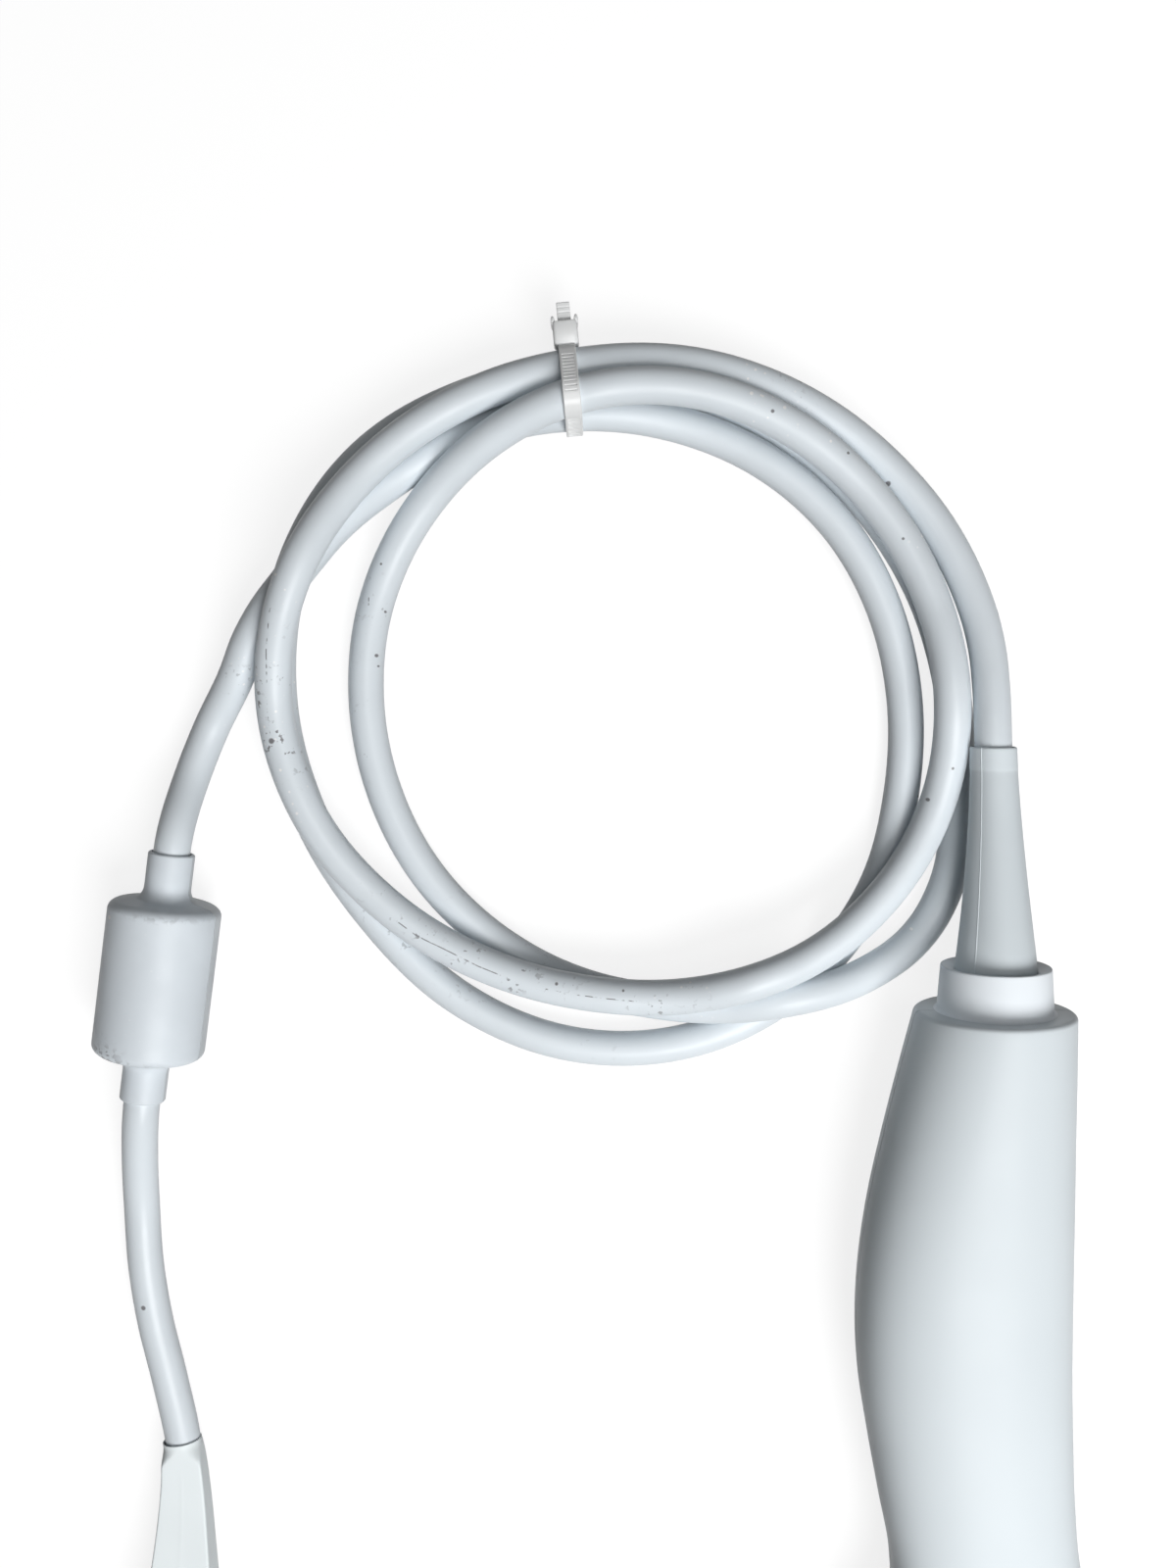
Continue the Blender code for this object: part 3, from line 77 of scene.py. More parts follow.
DARK_DOTS = ((-96.2, 62.6, 0.45), (-81.8, 61.2, 0.35), (-156.7, 115.1, 0.8), (-134.1, 153.0, 0.35),
             (-133.5, 142.8, 0.35), (-135.5, 133.3, 0.5), (-135.2, 131.0, 0.3), (-51.3, 183.4, 0.5),
             (-25.5, 169.7, 0.7), (-23.1, 157.7, 0.4), (-35.1, 175.3, 0.4), (-11.9, 109.3, 0.4),
             (-16.4, 102.4, 0.5), (-189.7, -13.3, 0.7))
LIGHT_DOTS = ((-54.3, 192.9, 0.4), (-55.7, 187.0, 0.5), (-53.3, 186.5, 0.35), (-48.7, 184.3, 0.5),
              (-38.9, 177.6, 0.4), (-18.7, 158.4, 0.4), (-153.8, 149.8, 0.4), (-154.9, 108.9, 0.4),
              (-151.6, 99.6, 0.4), (-17.9, 73.1, 0.4))
FERRITE_DOTS = ((-191.1, 77.8, 0.6),)


class Side(Enum):
    """Which half of a split housing."""

    UPPER = 1
    LOWER = -1


# Surfaces


def mesh_object(name: str, points: Array, faces: Sequence[Array], sharp: float = 40.0) -> Thing:
    """Puts points and faces into a smooth-shaded mesh object at the origin.

    Args:
        name: the piece's name.
        points: an (n, 3) array.
        faces: arrays of point numbers, one row a face; each array has its own number of corners.
        sharp: edges steeper than this many degrees stay sharp.

    Returns:
        The new object, linked to the scene.
    """
    mesh = bpy.data.meshes.new(name)
    points = np.asarray(points, dtype=np.float32).reshape(-1, 3)
    corners = np.concatenate([f.ravel() for f in faces]).astype(np.int32)
    counts = np.concatenate([np.full(len(f), f.shape[1]) for f in faces])
    starts = np.concatenate([[0], np.cumsum(counts)[:-1]]).astype(np.int32)
    mesh.vertices.add(len(points))
    mesh.vertices.foreach_set("co", points.ravel())
    mesh.loops.add(len(corners))
    mesh.loops.foreach_set("vertex_index", corners)
    mesh.polygons.add(len(starts))
    mesh.polygons.foreach_set("loop_start", starts)
    mesh.update(calc_edges=True)
    mesh.validate()
    mesh.shade_smooth()
    mesh.set_sharp_from_angle(angle=radians(sharp))
    thing = bpy.data.objects.new(name, mesh)
    bpy.context.scene.collection.objects.link(thing)
    return thing


def set_attribute(thing: Thing, name: str, values: Array) -> None:
    """Stores one number a point on the mesh, for its material to read."""
    layer = thing.data.attributes.new(name, "FLOAT", "POINT")
    layer.data.foreach_set("value", np.asarray(values, dtype=np.float32).ravel())


def quads(rows: int, columns: int, wrap: bool, first: int = 0, flip: bool = False) -> Array:
    """Faces of a grid of points numbered row by row.

    Args:
        rows: points one way.
        columns: points the other way.
        wrap: whether the last column joins the first.
        first: number of the grid's first point.
        flip: turns the faces over.

    Returns:
        An (n, 4) array of point numbers.
    """
    across = np.arange(columns if wrap else columns - 1)
    down = np.arange(rows - 1)[:, None]
    right = (across + 1) % columns
    a = down * columns + across
    b = down * columns + right
    face = np.stack([a, b, b + columns, a + columns], axis=-1).reshape(-1, 4) + first
    return face[:, ::-1] if flip else face


def is_inside_out(points: Array, faces: Sequence[Array]) -> bool:
    """Whether a closed surface's faces point inwards: its signed volume is below zero.

    Args:
        points: an (n, 3) array.
        faces: arrays of point numbers, one row a face.

    Returns:
        True where they point inwards.
    """
    volume = 0.0
    for face in faces:
        for k in range(1, face.shape[1] - 1):
            a, b, c = points[face[:, 0]], points[face[:, k]], points[face[:, k + 1]]
            volume += float(np.einsum("ij,ij->i", a, np.cross(b, c)).sum())
    return volume < 0.0


def turned_out(points: Array, faces: list[Array]) -> list[Array]:
    """The faces of a closed surface, turned over where they point inwards."""
    inside_out = is_inside_out(points - points.mean(axis=0), faces)
    return [face[:, ::-1] for face in faces] if inside_out else faces


def capped(grid: Array) -> tuple[Array, list[Array]]:
    """Closes rings of points into a solid, with a fan to the middle at each end.

    Args:
        grid: (rows, columns, 3) points, one ring a row.

    Returns:
        The points, and the faces of the sides and both ends.
    """
    rows, columns = grid.shape[:2]
    points = np.concatenate([grid.reshape(-1, 3), grid[:1].mean(axis=1), grid[-1:].mean(axis=1)])
    across = np.arange(columns)
    after = (across + 1) % columns
    top = (rows - 1) * columns
    low = np.stack([after, across, np.full(columns, rows * columns)], axis=-1)
    high = np.stack([across + top, after + top, np.full(columns, rows * columns + 1)], axis=-1)
    return points, turned_out(points, [quads(rows, columns, True), low, high])


def wall(name: str, outer: Array, inner: Array, closed: bool = True, sharp: float = 40.0) -> Thing:
    """A wall between an outer and an inner grid of the same shape, with rims at its ends.

    Args:
        name: the piece's name.
        outer: (rows, columns, 3) points of the outer surface.
        inner: the same for the inner surface.
        closed: whether each row is a full ring; else the wall gets rims along both edges too.
        sharp: edges steeper than this many degrees stay sharp.

    Returns:
        The new object.
    """
    rows, columns = outer.shape[:2]
    shift = rows * columns
    number = np.arange(shift).reshape(rows, columns)
    faces = [quads(rows, columns, closed), quads(rows, columns, closed, shift, flip=True)]
    for line in (number[0], number[-1][::-1]):
        ring = np.append(line, line[0]) if closed else line
        faces.append(np.stack([ring[1:], ring[:-1], ring[:-1] + shift, ring[1:] + shift], axis=-1))
    if not closed:
        for line in (number[:, -1], number[::-1, 0]):
            faces.append(np.stack([line[1:], line[:-1], line[:-1] + shift, line[1:] + shift], axis=-1))
    points = np.concatenate([outer.reshape(-1, 3), inner.reshape(-1, 3)])
    return mesh_object(name, points, turned_out(points, faces), sharp)


def solid(name: str, grid: Array, sharp: float = 40.0) -> Thing:
    """A solid through closed rings of points, with its two ends closed by fans to their middles.

    Args:
        name: the piece's name.
        grid: (rows, columns, 3) points, one ring a row.
        sharp: edges steeper than this many degrees stay sharp.

    Returns:
        The new object.
    """
    points, faces = capped(grid)
    return mesh_object(name, points, faces, sharp)


def joined_points(grids: Sequence[Array]) -> tuple[Array, list[Array]]:
    """Points and faces of several closed lofts in one mesh, each ring list ending in fans.

    Args:
        grids: (rows, columns, 3) points of each loft.

    Returns:
        The points, and the faces by their numbers in them.
    """
    points: list[Array] = []
    faces: list[Array] = []
    first = 0
    for grid in grids:
        part_points, part_faces = capped(grid)
        faces += [face + first for face in part_faces]
        points.append(part_points)
        first += len(part_points)
    return np.concatenate(points), faces


def smooth_values(knots: Array, rows: Array, at: Array) -> Array:
    """Cubic curve through rows of values, with slopes from each value's neighbours.

    Args:
        knots: where each row stands, rising.
        rows: values at the knots, one row each.
        at: where the curve is wanted.

    Returns:
        One row of values for each place in at.
    """
    knots = np.asarray(knots, dtype=float)
    rows = np.asarray(rows, dtype=float)
    at = np.clip(np.asarray(at, dtype=float), knots[0], knots[-1])
    slopes = np.gradient(rows, knots, axis=0)
    k = np.clip(np.searchsorted(knots, at, side="right") - 1, 0, len(knots) - 2)
    span = (knots[k + 1] - knots[k])[:, None]
    t = (at - knots[k])[:, None] / span
    start = rows[k] * (2 * t**3 - 3 * t**2 + 1) + slopes[k] * span * (t**3 - 2 * t**2 + t)
    end = rows[k + 1] * (3 * t**2 - 2 * t**3) + slopes[k + 1] * span * (t**3 - t**2)
    return start + end


def ease(value: Array, low: float, high: float) -> Array:
    """Smooth step: 0 below low, 1 above high, and an S between them."""
    t = np.clip((value - low) / (high - low), 0.0, 1.0)
    return t * t * (3 - 2 * t)


def oval(half_width: Array, half_height: Array, squareness: Array, angles: Array) -> tuple[Array, Array]:
    """Superellipse: |x / half width| ** n + |z / half height| ** n = 1, where n is squareness.

    Args:
        half_width: half its width.
        half_height: half its height.
        squareness: 2 is an ellipse, and more is squarer.
        angles: where its points lie.

    Returns:
        The points' x and z.
    """
    c, s = np.cos(angles), np.sin(angles)
    power = 2.0 / np.asarray(squareness)
    return half_width * np.sign(c) * np.abs(c) ** power, half_height * np.sign(s) * np.abs(s) ** power


def turn(steps: int) -> Array:
    """Angles of a full turn, without the last."""
    return np.linspace(0.0, 2 * pi, steps, endpoint=False)


def quarter(steps: int) -> Array:
    """Angles of a quarter turn, with both ends."""
    return np.linspace(0.0, pi / 2, steps)


def run_along(points: Array) -> Array:
    """How long a line is up to each of its points."""
    return np.append(0.0, np.cumsum(np.linalg.norm(np.diff(points, axis=0), axis=1)))


def sampled(at: Array, run: Array, values: Array) -> Array:
    """Rows of values at places along a line, each in proportion between its two neighbours."""
    return np.stack([np.interp(at, run, column) for column in values.T], axis=-1)


def polyline_ease(profile: Sequence[tuple[float, float]], radius: float, steps: int = 5) -> Array:
    """A profile whose corners are rounded: each corner becomes a parabola between two points on
    its sides, at most radius from it.

    Args:
        profile: corner points.
        radius: the rounding's reach along each side.
        steps: points in each rounding.

    Returns:
        An (n, 2) array.
    """
    corner = np.asarray(profile, dtype=float)
    before, middle, after = corner[:-2], corner[1:-1], corner[2:]
    back = before - middle
    on = after - middle
    back_length = np.linalg.norm(back, axis=1, keepdims=True)
    on_length = np.linalg.norm(on, axis=1, keepdims=True)
    start = middle + back / back_length * np.minimum(radius, back_length * 0.45)
    end = middle + on / on_length * np.minimum(radius, on_length * 0.45)
    t = np.linspace(0.0, 1.0, steps)[None, :, None]
    curve = start[:, None] * (1 - t) ** 2 + middle[:, None] * 2 * t * (1 - t) + end[:, None] * t**2
    return np.concatenate([corner[:1], curve.reshape(-1, 2), corner[-1:]])


def revolve(profile: Array, centre: Array, axis: Array, angles: Array) -> Array:
    """A profile of (distance along, radius) turned about a level axis.

    Args:
        profile: (n, 2) array.
        centre: where distance 0 lies.
        axis: the axis in the XY plane.
        angles: angles about it; 0 is its right-hand side and a quarter turn is up.

    Returns:
        (n, angles, 3) points.
    """
    along = np.array([axis[0], axis[1], 0.0])
    side = np.array([-axis[1], axis[0], 0.0])
    up = np.array([0.0, 0.0, 1.0])
    ring = np.cos(angles)[:, None] * side + np.sin(angles)[:, None] * up
    return np.asarray(centre) + profile[:, 0, None, None] * along + profile[:, 1, None, None] * ring


# Finishes


class Graph:
    """A material's nodes, made with short calls."""

    def __init__(self, name: str) -> None:
        """Makes an empty material with one shader.

        Args:
            name: the material's name.
        """
        self.material = bpy.data.materials.new(name)
        self.material.use_nodes = True
        self.tree = self.material.node_tree
        self.shader = self.tree.nodes["Principled BSDF"]
        self.place = self.tree.nodes.new("ShaderNodeTexCoord").outputs["Object"]

    def node(self, kind: str, **settings: object) -> bpy.types.Node:
        """A new node with its own settings.

        Args:
            kind: the node's type.
            settings: its own properties.

        Returns:
            The node.
        """
        made = self.tree.nodes.new(kind)
        for key, value in settings.items():
            setattr(made, key, value)
        return made

    def feed(self, target: Socket, value: object) -> None:
        """Links a socket, or sets its value.

        Args:
            target: the socket that takes it.
            value: a socket, or a number or colour.
        """
        if isinstance(value, Socket):
            self.tree.links.new(value, target)
        else:
            target.default_value = value

    def noise(self, size: float, detail: float = 3.0, shift: float = 0.0) -> Socket:
        """Cloudy noise.

        Args:
            size: how far across its blots are, about.
            detail: how many finer layers it has.
            shift: moves it, so that two noises differ.

        Returns:
            The socket with the result.
        """
        made = self.node("ShaderNodeTexNoise")
        place = self.place
        if shift:
            mapping = self.node("ShaderNodeMapping")
            self.feed(mapping.inputs["Vector"], place)
            mapping.inputs["Location"].default_value = (shift, shift, shift)
            place = mapping.outputs["Vector"]
        self.feed(made.inputs["Vector"], place)
        made.inputs["Scale"].default_value = 0.5 / size
        made.inputs["Detail"].default_value = detail
        return made.outputs["Fac"]

    def specks(self, size: float) -> Socket:
        """Distance to the nearest of scattered points about size apart.

        Args:
            size: how far apart the points are, about.

        Returns:
            The socket with the result.
        """
        made = self.node("ShaderNodeTexVoronoi")
        self.feed(made.inputs["Vector"], self.place)
        made.inputs["Scale"].default_value = 1.0 / size
        return made.outputs["Distance"]

    def spread(self, value: object, low: float, high: float, to_low: float = 0.0,
               to_high: float = 1.0) -> Socket:
        """Maps low to high onto to_low to to_high with a smooth step.

        Args:
            value: what is mapped.
            low: where it starts.
            high: where it ends.
            to_low: the result at low.
            to_high: the result at high.

        Returns:
            The socket with the result.
        """
        made = self.node("ShaderNodeMapRange", interpolation_type="SMOOTHSTEP")
        self.feed(made.inputs["Value"], value)
        for key, number in (("From Min", low), ("From Max", high), ("To Min", to_low), ("To Max", to_high)):
            made.inputs[key].default_value = number
        return made.outputs["Result"]

    def maths(self, operation: str, first: object, second: object = 0.0) -> Socket:
        """One step of arithmetic.

        Args:
            operation: Blender's name for it.
            first: a number or socket.
            second: another, where the operation takes two.

        Returns:
            The socket with the result.
        """
        made = self.node("ShaderNodeMath", operation=operation)
        self.feed(made.inputs[0], first)
        self.feed(made.inputs[1], second)
        return made.outputs[0]

    def times(self, first: object, second: object) -> Socket:
        """Product of two numbers."""
        return self.maths("MULTIPLY", first, second)

    def dots(self, marks: Sequence[tuple[float, float, float]]) -> Socket:
        """1 inside small round marks seen from above, each an x, a y and a radius in millimetres.

        Args:
            marks: an x, a y and a radius in millimetres for each.

        Returns:
            The socket with the result.
        """
        flat = self.node("ShaderNodeVectorMath", operation="MULTIPLY")
        self.feed(flat.inputs[0], self.place)
        flat.inputs[1].default_value = (1.0, 1.0, 0.0)
        total: object = 0.0
        for x, y, radius in marks:
            apart = self.node("ShaderNodeVectorMath", operation="DISTANCE")
            self.feed(apart.inputs[0], flat.outputs[0])
            apart.inputs[1].default_value = (x / 1000, y / 1000, 0.0)
            inside = self.spread(apart.outputs["Value"], radius / 1000, radius / 2000)
            total = self.maths("MAXIMUM", total, inside)
        return total

    def dashes(self, across: Socket, half_width: float, size: float) -> Socket:
        """A thin broken line where a distance across it, in metres, is near zero.

        Args:
            across: the distance across the line.
            half_width: half the line's width.
            size: how long its dashes are, about.

        Returns:
            The socket with the result.
        """
        line = self.spread(self.maths("ABSOLUTE", across), half_width, half_width * 0.4)
        return self.times(line, self.spread(self.noise(size, shift=5.3), 0.47, 0.58))

    def attribute(self, name: str) -> Socket:
        """A number stored on the mesh's points."""
        return self.node("ShaderNodeAttribute", attribute_name=name).outputs["Fac"]

    def mix(self, share: object, first: object, second: object) -> Socket:
        """Colour that goes from first to second with share.

        Args:
            share: 0 gives first and 1 gives second.
            first: a colour or socket.
            second: a colour or socket.

        Returns:
            The socket with the result.
        """
        made = self.node("ShaderNodeMix", data_type="RGBA")
        self.feed(made.inputs[0], share)
        for socket, value in ((made.inputs[6], first), (made.inputs[7], second)):
            self.feed(socket, value if isinstance(value, Socket) else (*value, 1.0))
        return made.outputs[2]

    def bump(self, height: Socket, depth: float, strength: float) -> None:
        """Raises the surface a little by a height.

        Args:
            height: the height's socket.
            depth: how deep a height of 1 is, in metres.
            strength: how much of it shows.
        """
        made = self.node("ShaderNodeBump")
        made.inputs["Strength"].default_value = strength
        made.inputs["Distance"].default_value = depth
        self.feed(made.inputs["Height"], height)
        self.feed(self.shader.inputs["Normal"], made.outputs["Normal"])


@dataclass(frozen=True)
class Finish:
    """A moulded or metal surface: a colour that drifts a little, gloss that varies, fine grain and,
    where the mesh carries them, worn, dusty, scuffed and paler places, and darker places of painted
    shade. Dots lie at fixed places."""

    name: str
    colour: tuple[float, float, float]
    roughness: float
    metallic: float = 0.0
    drift: float = 0.03
    drift_size: float = 0.015
    drift_range: tuple[float, float] = (0.35, 0.65)
    gloss_drift: float = 0.05
    gloss_range: tuple[float, float] = (0.3, 0.7)
    grain_size: float = 0.0005
    grain_depth: float = 0.00002
    grain_strength: float = 0.15
    subsurface: float = 0.0
    subsurface_reach: float = 0.004
    clear: float = 0.0
    specular: float = 0.5
    wear_colour: tuple[float, float, float] = (0.20, 0.20, 0.21)
    dust_colour: tuple[float, float, float] = (0.95, 0.95, 0.95)
    worn: bool = False
    wear_start: float = 0.60
    wear_size: float = 0.0007
    wear_fade: float = 0.08
    blot_start: float = 0.48
    blot_size: float = 0.0045
    blot_fade: float = 0.12
    fleck_spacing: float = 0.0022
    fleck_range: tuple[float, float] = (0.16, 0.08)
    pale_band: float = 0.0
    shade: float = 0.0
    scuffed: bool = False
    scuff_half_width: float = 0.00016
    scuff_dash: float = 0.0010
    dark_dots: tuple[tuple[float, float, float], ...] = ()
    light_dots: tuple[tuple[float, float, float], ...] = ()

    def tint(self, share: float) -> tuple[float, ...]:
        """The colour made lighter by a share, or darker where the share is below zero."""
        return tuple(min(c * (1 + share), 1.0) for c in self.colour)

    def marked(self, graph: Graph) -> Socket:
        """The drifting colour with the paler places, the darker places of painted shade, and the worn, dusty,
        scuffed and dotted places on it.

        Args:
            graph: the material's nodes.

        Returns:
            The colour's socket.
        """
        clouds = graph.spread(graph.noise(self.drift_size), *self.drift_range)
        colour = graph.mix(clouds, self.tint(-self.drift), self.tint(self.drift))
        if self.pale_band:
            colour = graph.mix(graph.attribute("pale"), colour, self.tint(self.pale_band))
        # Painted shade: the colour darkened where the mesh's shade attribute is high.
        if self.shade:
            colour = graph.mix(graph.attribute("shade"), colour, self.tint(-self.shade))
        if self.worn:
            marks = graph.spread(graph.noise(self.wear_size, 2.0), self.wear_start,
                                 self.wear_start + self.wear_fade)
            blots = graph.spread(graph.noise(self.blot_size, 2.0, shift=3.1), self.blot_start,
                                 self.blot_start + self.blot_fade)
            dark = graph.times(graph.times(marks, blots), graph.attribute("worn"))
            colour = graph.mix(dark, colour, self.wear_colour)
            flecks = graph.spread(graph.specks(self.fleck_spacing), *self.fleck_range)
            light = graph.times(flecks, graph.attribute("dusty"))
            colour = graph.mix(light, colour, self.dust_colour)
        if self.scuffed:
            line = graph.dashes(graph.attribute("scuff"), self.scuff_half_width, self.scuff_dash)
            colour = graph.mix(line, colour, self.wear_colour)
        if self.dark_dots:
            colour = graph.mix(graph.dots(self.dark_dots), colour, self.wear_colour)
        if self.light_dots:
            colour = graph.mix(graph.dots(self.light_dots), colour, self.dust_colour)
        return colour

    def make(self) -> bpy.types.Material:
        """Builds the material's nodes.

        Returns:
            The material.
        """
        graph = Graph(self.name)
        shader = graph.shader
        graph.feed(shader.inputs["Base Color"], self.marked(graph))
        shader.inputs["Metallic"].default_value = self.metallic
        shader.inputs["Specular IOR Level"].default_value = self.specular
        gloss = graph.spread(graph.noise(self.drift_size * 0.4, 4.0, shift=1.7), *self.gloss_range,
                             self.roughness - self.gloss_drift, self.roughness + self.gloss_drift)
        graph.feed(shader.inputs["Roughness"], gloss)
        graph.bump(graph.noise(self.grain_size, 2.0, shift=0.6), self.grain_depth, self.grain_strength)
        shader.inputs["Transmission Weight"].default_value = self.clear
        if self.subsurface:
            shader.inputs["Subsurface Weight"].default_value = self.subsurface
            shader.inputs["Subsurface Radius"].default_value = (self.subsurface_reach,) * 3
            shader.inputs["Subsurface Scale"].default_value = 1.0
        return graph.material


SHELL = Finish("shell plastic", (0.68, 0.735, 0.765), 0.42, drift=0.015, drift_size=0.03, specular=0.18)
COLLAR = Finish("collar plastic", (0.885, 0.935, 0.975), 0.45, drift=0.02, specular=0.15)
BOOT = Finish("boot rubber", (0.64, 0.695, 0.725), 0.50, drift=0.03, pale_band=0.12, specular=0.2)
JACKET = Finish("cable jacket", (0.73, 0.785, 0.825), 0.38, drift=0.03, specular=0.36, worn=True,
                scuffed=True, dark_dots=DARK_DOTS, light_dots=LIGHT_DOTS)
CASE = Finish("ferrite case plastic", (0.72, 0.775, 0.82), 0.44, drift=0.03, drift_size=0.008, worn=True,
              specular=0.3, wear_colour=(0.30, 0.31, 0.33), wear_start=0.50, blot_start=0.34,
              light_dots=FERRITE_DOTS)
# The lower half of the ferrite's case: the case's colour darkened, a painted shade that shows as a strip
# along the ferrite's right side.
CASE_IN_PAINTED_SHADE = Finish("ferrite lower case in painted shade", (0.58, 0.62, 0.65), 0.44, drift=0.03, worn=True)
PLUG_BOOT = Finish("connector boot rubber", (0.905, 0.965, 0.98), 0.46, drift=0.02, specular=0.2)
# The nylon's shade is painted shade, laid in the tie's grooves and where its strap bends into the head.
NYLON = Finish("nylon", (0.985, 0.995, 0.995), 0.40, drift=0.004, subsurface=0.8, shade=0.36, clear=0.25)
SILICONE = Finish("lens silicone", (0.30, 0.34, 0.38), 0.30, drift=0.02, grain_strength=0.05)
RESIN = Finish("matching resin", (0.18, 0.16, 0.14), 0.55)
CERAMIC = Finish("ceramic", (0.10, 0.10, 0.11), 0.60)
BACKING = Finish("backing", (0.05, 0.05, 0.05), 0.75)
COPPER = Finish("copper braid", (0.72, 0.45, 0.30), 0.35, metallic=1.0, grain_size=0.0004)
STEEL = Finish("steel", (0.62, 0.62, 0.63), 0.30, metallic=1.0, drift=0.02)
GOLD = Finish("gold plate", (0.83, 0.64, 0.30), 0.25, metallic=1.0, drift=0.02)
BOARD = Finish("board", (0.04, 0.20, 0.09), 0.40)
FILM = Finish("flexible film", (0.60, 0.32, 0.10), 0.35)
CONTACT = Finish("contact plastic", (0.035, 0.035, 0.04), 0.45)


def material_of(finish: Finish) -> bpy.types.Material:
    """The finish's material, made once and shared."""
    return bpy.data.materials.get(finish.name) or finish.make()


def dress_nodes(finish: Finish, *nodes: str) -> None:
    """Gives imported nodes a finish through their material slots.

    Args:
        finish: the surface.
        nodes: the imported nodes' names.
    """
    for name in nodes:
        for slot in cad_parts[name].material_slots:
            slot.material = material_of(finish)


def settle(thing: Thing, finish: Finish, slot: str, *nodes: str) -> Thing:
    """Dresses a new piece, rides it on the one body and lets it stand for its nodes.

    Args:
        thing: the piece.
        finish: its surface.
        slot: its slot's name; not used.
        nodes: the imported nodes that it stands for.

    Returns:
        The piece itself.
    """
    thing.data.materials.clear()
    thing.data.materials.append(material_of(finish))
    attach(thing, "root")
    if nodes:
        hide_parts(*nodes)
    LOG.info("%s: %d faces", thing.name, len(thing.data.polygons))
    return thing


# The cable


@dataclass
class CableRoute:
    """The cable's middle line, from the ferrule in the handle to the clamp in the connector.

    The coil is counted in degrees round its centre, with a radius and a height in millimetres.
    """

    centre: tuple[float, float] = (-0.07873, 0.12457)
    boot_mouth_y: float = 0.1140
    boot_root_y: float = 0.0666
    boot_bend: float = 0.0016
    boot_bend_power: float = 1.4
    start_y: float = 0.0338
    ferrite_top: tuple[float, float] = (-0.1796, 0.0907)
    ferrite_tilt: float = 8.1
    ferrite_length: float = 0.0551
    ferrite_radius: float = 0.0120
    ferrite_lead: float = 0.0020
    plug_x: float = -0.1814
    plug_mouth_y: float = -0.0450
    plug_boot_length: float = 0.0500
    plug_boot_bend: float = 0.0012
    plug_boot_fade: float = 0.0047
    plug_boot_sway: float = 0.0004
    plug_height: float = 0.0240
    plug_mouth_height: float = 0.0058
    tail: float = 0.0140
    step: float = 0.0022
    above_table: float = 0.0001
    turns: tuple[tuple[float, float, float], ...] = (
        (-8, 75.4, 17.5), (0, 74.9, 16.2), (10, 75.0, 13.4), (20, 74.6, 10.6), (30, 73.9, 8.9),
        (40, 72.8, 8.6), (60, 71.3, 10.1), (80, 70.6, 11.7), (100, 70.2, 13.9), (120, 72.4, 12.4),
        (140, 74.6, 14.5), (160, 76.2, 20.2), (180, 78.0, 13.2), (200, 75.4, 12.2), (220, 71.2, 10.6),
        (240, 67.5, 11.1), (260, 65.6, 12.3), (280, 65.9, 13.8), (292, 66.2, 16.8), (304, 67.8, 14.6),
        (320, 68.9, 12.3), (340, 69.1, 11.2), (360, 66.6, 16.2), (380, 65.9, 12.6), (400, 65.2, 12.5),
        (420, 64.8, 15.2), (440, 64.7, 17.4), (460, 63.7, 19.2), (480, 62.7, 13.5), (500, 61.7, 6.6),
        (520, 60.6, 4.0), (540, 59.6, 4.0), (560, 59.7, 4.0), (580, 61.0, 4.0), (600, 63.0, 4.0),
        (620, 66.0, 4.0), (632, 68.1, 4.5), (644, 70.6, 8.4), (656, 73.6, 12.4), (668, 79.0, 9.0),
        (680, 82.6, 4.4), (690, 80.6, 4.0), (700, 75.9, 4.0), (710, 72.2, 4.0), (720, 69.8, 4.0),
        (740, 66.8, 4.0), (760, 65.4, 4.0), (780, 65.6, 4.0), (800, 67.2, 4.2), (820, 70.0, 5.95),
        (840, 74.5, 4.1), (860, 78.9, 4.0), (880, 80.1, 4.0), (900, 78.8, 4.0), (920, 77.1, 4.0),
        (940, 76.4, 4.0), (960, 78.4, 4.0), (980, 79.5, 4.0), (1000, 78.2, 4.0), (1020, 74.2, 4.0),
        (1040, 68.8, 4.0), (1060, 62.6, 4.0), (1080, 59.0, 4.2), (1100, 57.3, 5.3), (1120, 57.0, 6.2),
        (1140, 57.5, 6.1), (1160, 59.0, 5.6), (1180, 61.7, 7.1), (1200, 66.3, 5.7), (1220, 70.9, 6.7),
        (1230, 74.2, 9.9), (1240, 77.6, 12.1), (1250, 83.3, 11.2), (1260, 88.6, 7.2),
    )
    to_ferrite: tuple[tuple[float, float, float], ...] = ((-172.7, 117.0, 4.3), (-176.3, 107.5, 5.8))
    to_plug: tuple[tuple[float, float, float], ...] = (
        (-189.5, 22.0, 8.0), (-190.4, 9.0, 4.6), (-190.0, -5.0, 4.0), (-188.2, -18.0, 4.0),
        (-185.2, -31.0, 4.4),
    )

    def boot_x(self, y: Array) -> Array:
        """The strain relief's middle line: it leans a little towards the coil at its mouth.

        Args:
            y: places along the handle's axis.

        Returns:
            The line's x there.
        """
        t = np.clip((y - self.boot_root_y) / (self.boot_mouth_y - self.boot_root_y), 0.0, 1.0)
        return AXIS_X - self.boot_bend * t**self.boot_bend_power

    def coil(self, degrees: Array) -> Array:
        """Points of the coil at angles, counted on through its turns.

        Args:
            degrees: angles round the coil's centre.

        Returns:
            An (n, 3) array.
        """
        table = np.asarray(self.turns)
        values = smooth_values(table[:, 0], table[:, 1:], degrees)
        radius = values[:, 0] / 1000
        height = np.maximum(values[:, 1] / 1000, CABLE_DIAMETER / 2 + self.above_table)
        at = np.radians(degrees)
        flat = (self.centre[0] + radius * np.cos(at), self.centre[1] + radius * np.sin(at))
        return np.stack([*flat, height], axis=-1)

    def ferrite_axis(self) -> Array:
        """Direction of the ferrite, from its upper mouth down."""
        return np.array([-sin(radians(self.ferrite_tilt)), -cos(radians(self.ferrite_tilt))])

